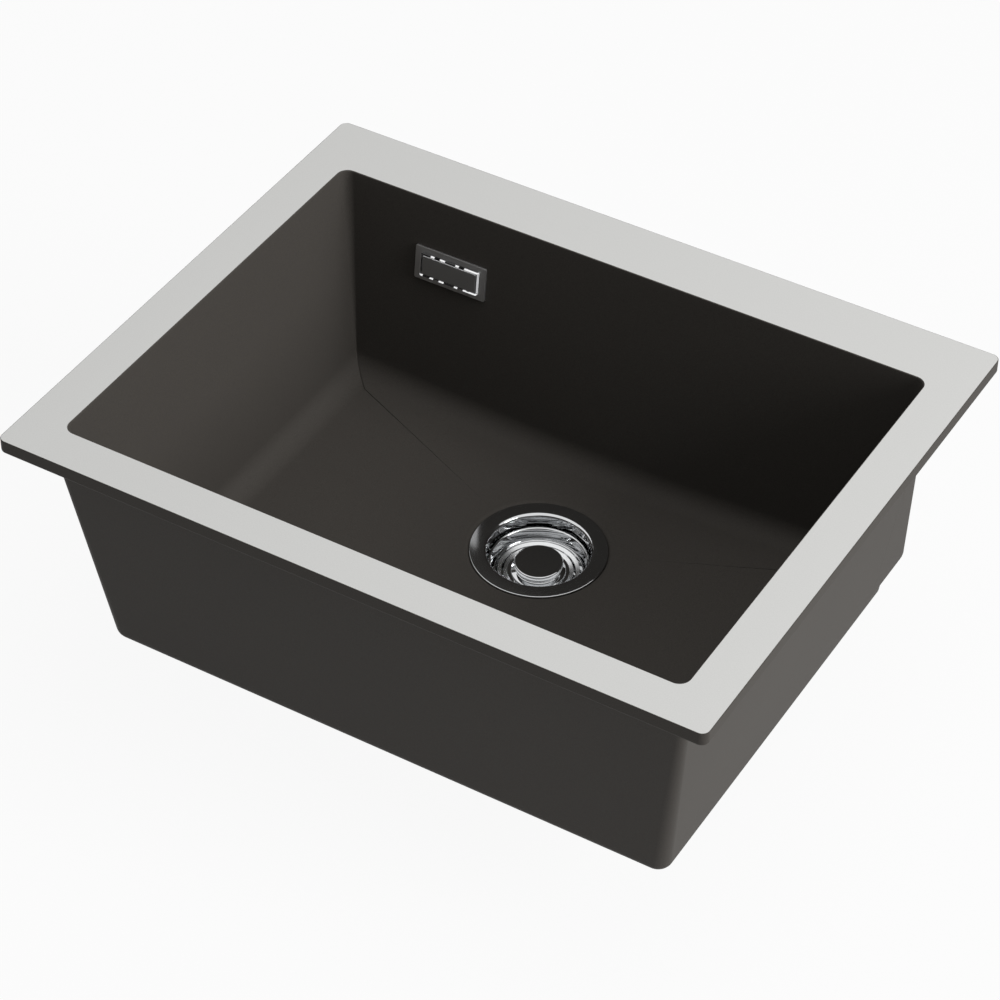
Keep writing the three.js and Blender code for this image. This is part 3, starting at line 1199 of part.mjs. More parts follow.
// A group at a spigot's mouth, its Z axis along the pipe that leaves it.
function mouthGroup(place, heading) {
  const group = new THREE.Group();
  group.position.copy(place);
  group.quaternion.setFromUnitVectors(v3(0, 0, 1), heading);
  sink.add(group);
  return group;
}

piece('sink_bowl', sinkBowl(), composite);

piece('overflow_frame', overflowFrame(), steel, overflow);
piece('overflow_grille', overflowGrille(), chrome, overflow);
piece('overflow_cover', overflowCover(), steel, overflow);
piece('overflow_gasket', overflowGasket(), rubber, overflow);
piece('overflow_elbow', overflowElbow(), blackPlastic, overflow);
['left', 'right'].forEach((side, k) => {
  const screw = piece(`overflow_screw_${side}`, panScrew(), steel, overflow);
  screw.position.set((k - 0.5) * BRIDGE_SPACING, SLEEVE_END - BRIDGE_THICKNESS - SEAT_GAP, 0);
  screw.rotation.x = -Math.PI / 2;
});

const elbowMouth = mouthGroup(ELBOW_MOUTH, DOWN);
piece('elbow_nut', pipeNut(), blackPlastic, elbowMouth);
piece('elbow_seal', pipeSeal(), rubber, elbowMouth);
piece('overflow_pipe', overflowPipe(), greyPlastic);
const spigotMouth = mouthGroup(SPIGOT_MOUTH, SPIGOT_OUT);
piece('spigot_nut', pipeNut(), blackPlastic, spigotMouth);
piece('spigot_seal', pipeSeal(), rubber, spigotMouth);

piece('strainer_flange', strainerFlange(), chrome, waste);
piece('flange_gasket', flangeGasket(), rubber, waste);
piece('clamp_gasket', clampGasket(), rubber, waste);
piece('waste_body', wasteBody(), blackPlastic, waste);
piece('insert_nut', insertNut(), brass, waste);
piece('clamp_screw', clampScrew(), steel, waste);

piece('strainer_basket', strainerBasket(), chrome, waste);
piece('basket_knob', basketKnob(), chrome, waste);
piece('basket_stem', basketStem(), steel, waste);
piece('basket_seal', basketSeal(), rubber, waste);
piece('seal_washer', ringWasher(STEM_HOLE_RADIUS, WASHER_RADIUS,
  WASHER_TOP - WASHER_THICKNESS, WASHER_TOP, ROUND_MEDIUM), steel, waste);
piece('stem_collet', stemCollet(), whiteAcetal, waste);

export default sink;
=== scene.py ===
import math

import bmesh
import bpy
from mathutils import Matrix, Vector


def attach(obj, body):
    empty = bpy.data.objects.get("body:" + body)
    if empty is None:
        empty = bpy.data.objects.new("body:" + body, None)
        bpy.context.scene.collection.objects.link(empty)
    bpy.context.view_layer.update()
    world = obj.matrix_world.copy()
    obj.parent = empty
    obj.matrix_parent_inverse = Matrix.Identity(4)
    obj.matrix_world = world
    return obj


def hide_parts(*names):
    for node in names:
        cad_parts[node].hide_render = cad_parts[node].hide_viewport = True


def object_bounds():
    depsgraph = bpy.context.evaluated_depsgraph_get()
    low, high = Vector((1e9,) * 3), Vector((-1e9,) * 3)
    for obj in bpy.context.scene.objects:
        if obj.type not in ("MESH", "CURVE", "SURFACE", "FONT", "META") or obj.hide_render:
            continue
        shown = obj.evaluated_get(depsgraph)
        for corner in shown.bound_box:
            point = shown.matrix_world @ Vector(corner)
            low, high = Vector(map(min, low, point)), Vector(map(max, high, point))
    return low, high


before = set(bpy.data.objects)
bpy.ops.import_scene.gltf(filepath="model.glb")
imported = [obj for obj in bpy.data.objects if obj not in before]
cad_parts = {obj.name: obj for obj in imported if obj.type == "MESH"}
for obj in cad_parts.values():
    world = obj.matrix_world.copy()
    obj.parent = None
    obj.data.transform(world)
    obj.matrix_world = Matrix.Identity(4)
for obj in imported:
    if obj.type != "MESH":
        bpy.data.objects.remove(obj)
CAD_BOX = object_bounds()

# Undermount kitchen sink. Lengths below are in millimetres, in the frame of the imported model,
# and become metres when a mesh is made. +X right, +Y to the back, +Z up, z = 0 on the flange.
MM = 0.001

# ------------------------------------------------------------------ sizes

HALF_WIDTH, HALF_DEPTH, HEIGHT = 276.5, 220.0, 202.0
OPENING = (-243.4, 243.4, -187.8, 168.4)      # left, right, front, back
OPENING_CORNER = 9.0
WALL, DRAFT = 9.5, 0.119
LEAN = math.atan(DRAFT)
WALL_ACROSS = WALL / math.cos(LEAN)
FLANGE, FLANGE_CORNER = 11.0, 6.0
FLOOR_FILLET, FLOOR_FALL, FLOOR_FLAT = 20.0, 0.045, 58.0
DRAIN_Y, DRAIN_Z = 48.9, -181.3
OVERFLOW_X, OVERFLOW_DEPTH = -144.8, 55.2

CORNER_STEPS = 12
LONG_STEPS, SHORT_STEPS = 36, 26
ROUND = 160
ROUND_FINE = 72

WASTE = Matrix.Translation((0, DRAIN_Y, DRAIN_Z))
OVERFLOW = (Matrix.Translation((OVERFLOW_X, OPENING[3] - DRAFT * OVERFLOW_DEPTH, -OVERFLOW_DEPTH))
            @ Matrix.Rotation(-LEAN, 4, "X"))

# ------------------------------------------------------------------ mesh helpers


def arc(x, y, radius, start, end, steps):
    """Points of an arc, angles in degrees."""
    angles = [math.radians(start + (end - start) * k / steps) for k in range(steps + 1)]
    return [(x + radius * math.cos(t), y + radius * math.sin(t)) for t in angles]


def rounded(points, steps=5, closed=True):
    """An outline of (x, y) or (x, y, radius) points, with its corners rounded to those radii."""
    result = []
    count = len(points)
    for k, point in enumerate(points):
        here = Vector(point[:2])
        if len(point) == 2 or (not closed and k in (0, count - 1)):
            result.append(tuple(here))
            continue
        back = Vector(points[k - 1][:2]) - here
        ahead = Vector(points[(k + 1) % count][:2]) - here
        half = back.angle(ahead) / 2
        reach = min(point[2] / math.tan(half), 0.49 * back.length, 0.49 * ahead.length)
        radius = reach * math.tan(half)
        a, b = back.normalized(), ahead.normalized()
        centre = here + (a + b).normalized() * (radius / math.sin(half))
        first, last = here + a * reach - centre, here + b * reach - centre
        sweep = first.angle_signed(last)
        for n in range(steps + 1):
            turn = -sweep * n / steps
            c, s = math.cos(turn), math.sin(turn)
            result.append((centre.x + first.x * c - first.y * s,
                           centre.y + first.x * s + first.y * c))
    return result


def revolve(outline, segments=ROUND):
    """(vertices, faces) of a closed (radius, height) outline turned about Z."""
    vertices, rows = [], []
    for radius, height in outline:
        if radius < 1e-6:
            rows.append([len(vertices)] * segments)
            vertices.append((0.0, 0.0, height))
        else:
            rows.append(list(range(len(vertices), len(vertices) + segments)))
            for k in range(segments):
                angle = 2 * math.pi * k / segments
                vertices.append((radius * math.cos(angle), radius * math.sin(angle), height))
    on_axis = outline[0][0] < 1e-6 and outline[-1][0] < 1e-6
    pairs = list(zip(rows, rows[1:])) + ([] if on_axis else [(rows[-1], rows[0])])
    faces = []
    for low, high in pairs:
        for k in range(segments):
            n = (k + 1) % segments
            corners = list(dict.fromkeys((low[k], low[n], high[n], high[k])))
            if len(corners) > 2:
                faces.append(corners)
    return vertices, faces


def loft(rings, closed=False):
    """(vertices, faces) through rings of equally many points, capped or closed on the first."""
    count = len(rings[0])
    vertices = [tuple(p) for ring in rings for p in ring]
    faces = []
    for level in range(len(rings) if closed else len(rings) - 1):
        a, b = level * count, ((level + 1) % len(rings)) * count
        for k in range(count):
            n = (k + 1) % count
            faces.append((a + k, a + n, b + n, b + k))
    if not closed:
        faces.append(tuple(range(count - 1, -1, -1)))
        last = (len(rings) - 1) * count
        faces.append(tuple(range(last, last + count)))
    return vertices, faces


def prism(outline, low, high, axis="Z"):
    """(vertices, faces) of an (a, b) outline extruded along an axis."""
    at = "XYZ".index(axis)
    return loft([[(*p[:at], level, *p[at:]) for p in outline] for level in (low, high)])


def block(x0, x1, y0, y1, z0, z1):
    """(vertices, faces) of a box between two values on each axis."""
    return prism([(x0, y0), (x1, y0), (x1, y1), (x0, y1)], z0, z1)


def moved(shape, matrix):
    """A shape, each of whose points a matrix moves."""
    vertices, faces = shape
    return [tuple(matrix @ Vector(v)) for v in vertices], faces


def spun(shape, angle):
    """A shape turned about Z."""
    return moved(shape, Matrix.Rotation(angle, 4, "Z"))


def temporary(shape):
    """An object in metres of a shape in millimetres, with its faces turned outward."""
    mesh = bpy.data.meshes.new("temporary")
    vertices, faces = shape
    mesh.from_pydata([Vector(v) * MM for v in vertices], [], faces)
    bm = bmesh.new()
    bm.from_mesh(mesh)
    bmesh.ops.remove_doubles(bm, verts=bm.verts, dist=1e-7)
    bmesh.ops.recalc_face_normals(bm, faces=bm.faces)
    bm.to_mesh(mesh)
    bm.free()
    thing = bpy.data.objects.new("temporary", mesh)
    bpy.context.scene.collection.objects.link(thing)
    return thing


def applied(thing):
    """Replaces an object's mesh by what its modifiers make of it."""
    bpy.context.view_layer.update()
    graph = bpy.context.evaluated_depsgraph_get()
    made = bpy.data.meshes.new_from_object(thing.evaluated_get(graph))
    thing.modifiers.clear()
    thing.data = made


def combined(body, operation, *shapes):
    """Joins shapes or objects to a body, or cuts them from it, with an exact boolean."""
    for shape in shapes:
        tool = shape if isinstance(shape, bpy.types.Object) else temporary(shape)
        modifier = body.modifiers.new("boolean", "BOOLEAN")
        modifier.operation = operation
        modifier.solver = "EXACT"
        modifier.object = tool
        applied(body)
        bpy.data.objects.remove(tool)
    return body


def piece(name, body, material, rides="root", stands_for=(), place=None,
          crease=32, bevel=0):
    """Names, places and finishes a piece, from a shape in millimetres or an object in metres."""
    if isinstance(body, tuple):
        body = temporary(body)
    body.name = name
    body.data.name = name
    if place is not None:
        shift = place.copy()
        shift.translation *= MM
        body.data.transform(shift)
    body.data.materials.clear()
    for entry in material if isinstance(material, list) else [material]:
        body.data.materials.append(entry)
    if bevel:
        modifier = body.modifiers.new("bevel", "BEVEL")
        modifier.width = bevel * MM
        modifier.segments = 2
        modifier.limit_method = "ANGLE"
        modifier.angle_limit = math.radians(40)
        modifier.use_clamp_overlap = True
        applied(body)
    body.data.polygons.foreach_set("use_smooth", [True] * len(body.data.polygons))
    body.data.set_sharp_from_angle(angle=math.radians(crease))
    weighted = body.modifiers.new("normals", "WEIGHTED_NORMAL")
    weighted.keep_sharp = True
    weighted.weight = 80
    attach(body, rides)
    if stands_for:
        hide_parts(*stands_for)
    return body


# ------------------------------------------------------------------ materials


def add_node(tree, kind, links=(), **values):
    """A new node. Each input named in links gets a link from an output, or a value."""
    made = tree.nodes.new(kind)
    for key, value in values.items():
        setattr(made, key, value)
    for socket, source in links:
        if hasattr(source, "is_linked"):
            tree.links.new(source, made.inputs[socket])
        else:
            made.inputs[socket].default_value = source
    return made


class Finish:
    """A Principled material in object coordinates, with its noise and bump."""

    def __init__(self, name, color, roughness, **sockets):
        self.material = bpy.data.materials.new(name)
        self.material.use_nodes = True
        self.tree = self.material.node_tree
        self.shader = self.tree.nodes["Principled BSDF"]
        self.shader.inputs["Base Color"].default_value = (*color, 1)
        self.shader.inputs["Roughness"].default_value = roughness
        for key, value in sockets.items():
            self.shader.inputs[key.replace("_", " ")].default_value = value
        self.coordinates = self.tree.nodes.new("ShaderNodeTexCoord").outputs["Object"]
        self.normal = None

    def node(self, kind, links=(), **values):
        return add_node(self.tree, kind, links, **values)

    def noise(self, per_metre, detail=2.0, stretch=None):
        vector = self.coordinates
        if stretch:
            links = [("Vector", vector), ("Scale", stretch)]
            vector = self.node("ShaderNodeMapping", links).outputs[0]
        links = [("Vector", vector), ("Scale", per_metre), ("Detail", detail)]
        return self.node("ShaderNodeTexNoise", links).outputs["Fac"]

    def cells(self, per_metre):
        links = [("Vector", self.coordinates), ("Scale", per_metre)]
        return self.node("ShaderNodeTexVoronoi", links).outputs["Distance"]

    def ramp(self, source, *stops):
        made = self.node("ShaderNodeValToRGB", [("Fac", source)])
        while len(made.color_ramp.elements) < len(stops):
            made.color_ramp.elements.new(0.5)
        for element, (position, color) in zip(made.color_ramp.elements, stops):
            element.position = position
            element.color = (*color, 1) if isinstance(color, tuple) else (color, color, color, 1)
        return made.outputs["Color"]

    def mix(self, factor, source, color):
        """Mixes a fixed colour into a source. Sockets 0, 6, 7 and 2 are the ones for colours."""
        links = [(0, factor), (6, source), (7, (*color, 1))]
        return self.node("ShaderNodeMix", links, data_type="RGBA").outputs[2]

    def color(self, source):
        self.tree.links.new(source, self.shader.inputs["Base Color"])

    def rough(self, source, low, high):
        links = [("Value", source), ("To Min", low), ("To Max", high)]
        spread = self.node("ShaderNodeMapRange", links)
        self.tree.links.new(spread.outputs["Result"], self.shader.inputs["Roughness"])

    def bump(self, source, millimetres, strength=1.0):
        links = [("Height", source), ("Distance", millimetres * MM), ("Strength", strength)]
        if self.normal:
            links.append(("Normal", self.normal))
        self.normal = self.node("ShaderNodeBump", links).outputs["Normal"]
        self.tree.links.new(self.normal, self.shader.inputs["Normal"])


def grey(value):
    """Linear grey of an sRGB value from 0 to 255."""
    share = value / 255
    return share / 12.92 if share <= 0.04045 else ((share + 0.055) / 1.055) ** 2.4


def rgb(r, g, b):
    return grey(r), grey(g), grey(b)


def make_composite():
    f = Finish("composite", rgb(67, 63, 60), 0.5, Specular_IOR_Level=0.1)
    grain = f.noise(1400, 3.0)
    cloud = f.noise(9, 2.0)
    body = f.ramp(grain, (0.32, rgb(61, 58, 55)), (0.66, rgb(71, 68, 64)))
    f.color(f.mix(f.ramp(cloud, (0.3, 0.0), (0.7, 0.25)), body, rgb(63, 60, 57)))
    f.rough(grain, 0.5, 0.62)
    f.bump(f.noise(2600, 2.0), 0.03, 0.5)
    f.bump(f.noise(260, 2.0), 0.02, 0.35)
    return f.material


def make_ground_face():
    f = Finish("composite_ground", rgb(207, 207, 205), 0.6)
    grain = f.noise(1100, 3.0)
    f.color(f.ramp(grain, (0.3, rgb(204, 204, 202)), (0.7, rgb(210, 210, 208))))
    f.rough(grain, 0.55, 0.7)
    f.bump(f.noise(420, 3.0, (1, 14, 1)), 0.015, 0.4)
    return f.material


def make_surface(name, color, spread, grain, relief, metallic=0.0, brushed=(None, None),
                 detail=2.0, tint=None, cells=False):
    """A finish whose roughness spreads over one noise, with relief from another or from cells.

    color is in sRGB, spread is the plain, lowest and highest roughness, grain a noise per metre,
    relief its size per metre, depth in millimetres and strength. brushed stretches the two
    noises, and tint is a noise per metre with the darkest and lightest colour over it.
    """
    f = Finish(name, rgb(*color), spread[0], Metallic=metallic)
    if tint:
        per_metre, dark, light = tint
        f.color(f.ramp(f.noise(per_metre), (0.3, rgb(*dark)), (0.7, rgb(*light))))
    f.rough(f.noise(grain, stretch=brushed[0]), *spread[1:])
    per_metre, millimetres, strength = relief
    texture = f.cells(per_metre) if cells else f.noise(per_metre, detail, brushed[1])
    f.bump(texture, millimetres, strength)
    return f.material


def make_trim(name, shade):
    """Brushed steel of the overflow's plate and lid."""
    return make_surface(name, (shade, shade, shade), (0.4, 0.36, 0.46), 1200, (2400, 0.008, 0.5),
                        1.0, ((1, 10, 10), (1, 12, 12)))


COMPOSITE, GROUND = make_composite(), make_ground_face()
CHROME = make_surface("chrome", (214, 215, 216), (0.05, 0.02, 0.05), 500, (60, 0.03, 0.2), 1.0,
                      detail=1.0)
PRESSED = make_surface("pressed_steel", (232, 233, 234), (0.22, 0.2, 0.28), 500,
                       (900, 0.006, 0.3), 1.0)
# Painted shade: a slightly darker, rougher copy of the chrome for the top of the strainer's ring.
RING_PAINTED_SHADE = make_surface("ring_chrome_painted_shade", (207, 208, 209), (0.075, 0.06, 0.09), 500, (900, 0.003, 0.3), 1.0)
SATIN = make_surface("satin_steel", (186, 187, 188), (0.3, 0.24, 0.36), 900, (1500, 0.01, 0.5), 1.0,
                     ((1, 12, 12), (1, 14, 14)))
TRIM, LID = make_trim("trim_steel", 186), make_trim("lid_steel", 162)
# Painted highlight: a pale, rough, mostly non-metal copy of the bead's chrome, for edges that face
# the right lamp or the sky.
PAINTED_HIGHLIGHT_BEAD = make_surface("bead_painted_highlight", (240, 241, 242), (0.42, 0.38, 0.48), 900,
                    (1200, 0.006, 0.3), 0.15)
# Painted shade: a dark, dull copy of the bead's chrome, for all of the bead except its bright faces.
PAINTED_SHADE_BEAD = make_surface("bead_painted_shade", (84, 84, 84), (0.5, 0.44, 0.56), 900,
                         (1200, 0.006, 0.3), 0.8)
# A brighter copy of the chrome for the bead's slopes that face up and reflect the sky: real chrome,
# partly painted highlight.
SLOPE = make_surface("slope_chrome", (244, 244, 245), (0.06, 0.04, 0.08), 900,
                     (1200, 0.002, 0.3), 1.0)
RUBBER = make_surface("rubber", (26, 26, 26), (0.7, 0.62, 0.8), 700, (1800, 0.02, 0.5))
BLACK = make_surface("black_plastic", (30, 30, 31), (0.42, 0.36, 0.5), 900, (1500, 0.02, 0.35),
                     tint=(40, (27, 27, 28), (34, 34, 35)), cells=True)
GREY = make_surface("grey_plastic", (150, 151, 152), (0.4, 0.34, 0.46), 300, (600, 0.01, 0.4),
                    tint=(30, (145, 146, 148), (156, 157, 158)))
BRASS = make_surface("brass", (190, 158, 92), (0.3, 0.22, 0.38), 800, (1600, 0.01, 0.5), 1.0,
                     ((1, 1, 10), (1, 1, 14)))
ACETAL = make_surface("acetal", (222, 221, 214), (0.3, 0.26, 0.36), 600, (900, 0.008, 0.4))

# ------------------------------------------------------------------ the bowl

LEFT, RIGHT, FRONT, BACK = OPENING


def make_rail():
    """Steps round a rounded rectangle: corner, outward turn, and share of the side that follows."""
    rail = []
    for corner in range(4):
        for k in range(CORNER_STEPS + 1):
            rail.append((corner, (corner + k / CORNER_STEPS) * math.pi / 2, 0.0))
        steps = LONG_STEPS if corner % 2 == 0 else SHORT_STEPS
        rail += [(corner, (corner + 1) * math.pi / 2, k / steps) for k in range(1, steps)]
    return rail


RAIL = make_rail()


def rail_point(by, radius, step):
    """A point of the opening's rectangle grown by some millimetres, with that corner radius."""
    corner, turn, along = step
    left, right = LEFT - by + radius, RIGHT + by - radius
    front, back = FRONT - by + radius, BACK + by - radius
    centres = [(right, back), (left, back), (left, front), (right, front)]
    start, end = Vector(centres[corner]), Vector(centres[(corner + 1) % 4])
    return start.lerp(end, along) + radius * Vector((math.cos(turn), math.sin(turn)))


def rect_ring(by, radius, z):
    """The opening's rectangle grown by some millimetres, at one height."""
    return [(*rail_point(by, max(radius, 0.5), step), z) for step in RAIL]


def flange_ring(inset, z):
    """The flange's outline drawn in by some millimetres, at one height."""
    ring = []
    radius = max(FLANGE_CORNER - inset, 0.5)
    x, y = HALF_WIDTH - inset - radius, HALF_DEPTH - inset - radius
    centres = [(x, y), (-x, y), (-x, -y), (x, -y)]
    for corner, turn, along in RAIL:
        start, end = Vector(centres[corner]), Vector(centres[(corner + 1) % 4])
        point = start.lerp(end, along) + radius * Vector((math.cos(turn), math.sin(turn)))
        ring.append((point.x, point.y, z))
    return ring


def floor_height(x, y):
    """Height of the bowl's floor, which falls to the flat round the drain."""
    return DRAIN_Z + FLOOR_FALL * max(0.0, math.hypot(x, y - DRAIN_Y) - FLOOR_FLAT)


def fillet_section(step, steps):
    """(inset, height) pairs of the arc between a wall and the floor at one step of the rail."""
    edge = rail_point(0, OPENING_CORNER, step)
    inward = -Vector((math.cos(step[1]), math.sin(step[1])))
    to_drain = Vector((-edge.x, DRAIN_Y - edge.y)).normalized()
    fall = math.atan(FLOOR_FALL * inward.dot(to_drain))
    height = floor_height(edge.x, edge.y)
    ca, sa, cb, sb = math.cos(LEAN), math.sin(LEAN), math.cos(fall), math.sin(fall)
    reach = height * cb + FLOOR_FILLET
    spread = ca * cb - sa * sb
    inset = (FLOOR_FILLET * cb - reach * sa) / spread
    z = (reach * ca - FLOOR_FILLET * sb) / spread
    last = math.pi / 2 - fall
    angles = [LEAN + (last - LEAN) * k / steps for k in range(steps + 1)]
    return [(inset - FLOOR_FILLET * math.cos(t), z - FLOOR_FILLET * math.sin(t)) for t in angles]


def between(first, second, shares):
    """Rings at some shares of the way from one ring to another."""
    return [[tuple(Vector(a).lerp(Vector(b), t)) for a, b in zip(first, second)] for t in shares]


def drain_ring(radius, z, along):
    """A circle round the drain, with a point in the direction of each point of another ring."""
    ring = []
    for point in along:
        angle = math.atan2(point[1] - DRAIN_Y, point[0])
        ring.append((radius * math.cos(angle), DRAIN_Y + radius * math.sin(angle), z))
    return ring


def inner_rings():
    """From the recess round the drain, over floor and fillet, up the walls to the opening."""
    fillet_steps = 12
    sections = [fillet_section(step, fillet_steps) for step in RAIL]
    bends = []
    for k in range(fillet_steps + 1):
        ring = []
        for step, section in zip(RAIL, sections):
            inset, z = section[k]
            point = rail_point(-inset, max(OPENING_CORNER - inset, 1.0), step)
            ring.append((point.x, point.y, z))
        bends.append(ring)
    floor_edge = bends[-1]
    recess_floor = DRAIN_Z - 3
    recess, lip, turn = 52.3, 6.0, 40
    lip_end = recess + lip * math.sin(math.radians(turn))
    rings = [drain_ring(45, recess_floor, floor_edge), drain_ring(recess, recess_floor, floor_edge)]
    rings += [drain_ring(r, z, floor_edge)
              for r, z in arc(lip_end, DRAIN_Z - lip, lip, 90 + turn, 90, 8)]
    flat = drain_ring(FLOOR_FLAT, DRAIN_Z, floor_edge)
    rings.append(flat)
    rings += between(flat, floor_edge, (0.15, 0.35, 0.6, 0.82, 0.95))
    rings += bends[::-1]
    top = rect_ring(-0.5 * DRAFT, OPENING_CORNER, -0.8)
    rings += between(bends[0], top, (0.03, 0.25, 0.5, 0.75, 0.97))
    rings += [rect_ring(by, OPENING_CORNER, z) for by, z in arc(0.8, -0.8, 0.8, 180, 90, 3)]
    return rings


def outer_wall_ring(z, extra):
    """One level of the outside. Its back corners get sharper downwards, its front ones rounder."""
    share = (-z - FLANGE) / (HEIGHT - FLANGE)
    by = WALL_ACROSS + DRAFT * z + extra
    top, back_foot, front_foot, least = 6.0, 2.5, 11.0, 0.5
    back = max(top + (back_foot - top) * share + extra, least)
    front = max(top + (front_foot - top) * share + extra, least)
    radii = (back, back, front, front)
    ring = []
    for corner, turn, along in RAIL:
        start = rail_point(by, radii[corner], (corner, turn, 0.0))
        end = rail_point(by, radii[(corner + 1) % 4], (corner, turn, 1.0))
        point = start.lerp(end, along)
        ring.append((point.x, point.y, z))
    return ring


def quarter(steps):
    """Distances of the points of a quarter circle of radius 1 from its two tangents."""
    turns = [math.pi / 2 * k / steps for k in range(steps + 1)]
    return [(1 - math.cos(t), 1 - math.sin(t)) for t in turns]


def outer_rings():
    """From the flange's edge round its lower edge, down the walls and round the base's rim."""
    crisp, edge, root, foot = 0.5, 1.6, 4.0, 8.0      # radii of the four roundings
    rings = [flange_ring(crisp - crisp * math.sin(t), -crisp + crisp * math.cos(t))
             for t in (0.0, 0.8, math.pi / 2)]
    rings += [flange_ring(edge * out, -FLANGE + edge * up) for out, up in quarter(4)]
    rings += [outer_wall_ring(-FLANGE - root * down, root * out) for down, out in quarter(8)]
    top, low = outer_wall_ring(-FLANGE - root, 0), outer_wall_ring(foot - HEIGHT, 0)
    rings += between(top, low, (0.03, 0.25, 0.5, 0.75, 0.97))
    rings += [outer_wall_ring(-HEIGHT + foot * up, -foot * inset) for inset, up in quarter(8)]
    return rings


def base_rings():
    """The rim's foot, the hollow under the floor, the boss and the waste hole."""
    rim, thickness, boss, flare, hole = 15.0, 10.0, 62.0, 4.0, 45.0
    base = WALL_ACROSS - DRAFT * HEIGHT - rim
    inner = [rect_ring(base + 1.0, 12, -HEIGHT), rect_ring(base, 11, -HEIGHT + 1.0)]
    ceiling = []
    for x, y, _ in rect_ring(base - 1.5, 11, 0):
        ceiling.append((x, y, floor_height(x, y) - thickness))
    shoulder = [(x, y, z - 3.0)
                for (x, y, _), (_, _, z) in zip(rect_ring(base - 1.2, 11, 0), ceiling)]
    soft = []
    for x, y, _ in rect_ring(base - 4.5, 9, 0):
        soft.append((x, y, floor_height(x, y) - thickness))
    under = DRAIN_Z - 13.2
    far = drain_ring(boss + flare + 3, DRAIN_Z - thickness, ceiling)
    rings = inner + [shoulder, soft] + between(soft, far, (0.2, 0.45, 0.7, 0.9))
    rings += [far, drain_ring(boss + flare, DRAIN_Z - thickness - 0.4, ceiling),
              drain_ring(boss + 0.6, under + 0.4, ceiling), drain_ring(boss - 0.4, under, ceiling),
              drain_ring(hole + 0.5, under, ceiling), drain_ring(hole, under + 0.5, ceiling)]
    return rings


def fin(side):
    """A tapering fin in line with a side wall, which it runs into without a seam."""
    def wall_at(z):
        return BACK + WALL_ACROSS + DRAFT * z

    start, apex, foot = -45, -80, -HEIGHT + 11.5         # heights
    root, sunk, reach, proud = 16, 0.6, 36.5, 0.02       # into the wall, and out of it
    outline = rounded([
        (wall_at(start) - root, start), (wall_at(start) - sunk, start),
        (wall_at(apex) - sunk, apex, 4), (wall_at(foot) + reach, foot, 3.5),
        (wall_at(foot) - root, foot),
    ], 8)
    # places across the fin, and how far its outline draws in there
    levels = [(-9.5, 0.9), (-9.2, 0.315), (-8.5, 0.0), (-1.0, 0.0), (-0.3, 0.315), (0.0, 0.9)]
    middle = Vector((sum(p[0] for p in outline), sum(p[1] for p in outline))) / len(outline)
    rings = []
    for x, inset in levels:
        ring = []
        for a, b in outline:
            toward = (middle - Vector((a, b))).normalized() * inset
            a, b = a + toward.x, b + toward.y
            across = RIGHT + WALL_ACROSS + proud + x + DRAFT * b
            ring.append((side * across, a, b))
        rings.append(ring)
    return loft(rings)


def sleeve_ring(width, height, radius, level):
    """A rounded rectangle round the overflow's axis, at one place along it."""
    x, y = width / 2 - radius, height / 2 - radius
    points = []
    for cx, cy, start in ((x, y, 0), (-x, y, 90), (-x, -y, 180), (x, -y, 270)):
        points += arc(cx, cy, radius, start, start + 90, 6)
    return [(a, level, b) for a, b in points]


def sink_bowl():
    """The bowl with its opening for the overflow and its fins."""
    body = temporary(loft(inner_rings() + outer_rings() + base_rings(), closed=True))
    aperture = loft([sleeve_ring(49.4, 19.4, 3.4, level) for level in (-19, 29)])
    combined(body, "DIFFERENCE", moved(aperture, OVERFLOW))
    combined(body, "UNION", fin(1), fin(-1))
    return body


bowl = piece("bowl", sink_bowl(), [COMPOSITE, GROUND], stands_for=["sink_bowl"],
             crease=40)
for face in bowl.data.polygons:      # only the flange's flat top is ground
    face.material_index = int(face.center.z > -0.01 * MM and face.normal.z > 0.999)

# ------------------------------------------------------------------ overflow

# Places along the overflow's axis, from the wall's inner face to the back.
BEZEL_BACK, BEZEL_FRONT = -0.3, -1.8
SLEEVE_END = WALL - 0.3
GRILLE_BACK, GRILLE_FRONT = -2.1, -4.0
COVER_FRONT, COVER_BACK = -4.0, -2.5
ELBOW_FACE = WALL + 0.3 + 2.2 + 0.3
ELBOW_AXIS = ELBOW_FACE + 15
SCREWS, SCREW_HOLE = (-15, 15), 2.25
SPIGOT_RADIUS, SPIGOT_END, SOCKET_RADIUS, SOCKET_DEPTH = 12.4, 40, 10.35, 12


def rod(x, radius, low, high, steps=32):
    """A rod along the overflow's axis."""
    return prism(arc(x, 0, radius, 0, 360, steps)[:-1], low, high, "Y")


def overflow_frame():
    """The plate on the wall, with its sleeve and two screw lugs at the sleeve's end."""
    rings = [
        sleeve_ring(61.2, 28.2, 1.1, BEZEL_FRONT), sleeve_ring(61.8, 28.8, 1.4, BEZEL_FRONT + 0.15),
        sleeve_ring(62, 29, 1.5, BEZEL_FRONT + 0.5), sleeve_ring(62, 29, 1.5, BEZEL_BACK),
        sleeve_ring(48.6, 18.6, 3, BEZEL_BACK), sleeve_ring(48.6, 18.6, 3, SLEEVE_END),
        sleeve_ring(45.6, 15.6, 1.5, SLEEVE_END), sleeve_ring(45.6, 15.6, 1.5, BEZEL_FRONT + 0.3),
        sleeve_ring(46.2, 16.2, 1.8, BEZEL_FRONT),
    ]
    body = temporary(loft(rings, closed=True))
    for x in SCREWS:
        lug = block(x - 4, x + 4, SLEEVE_END - 2.4, SLEEVE_END - 0.01, -8.5, 8.5)
        combined(body, "UNION", lug)
        combined(body, "DIFFERENCE", rod(x, SCREW_HOLE, 0, SLEEVE_END + 2))
    return body


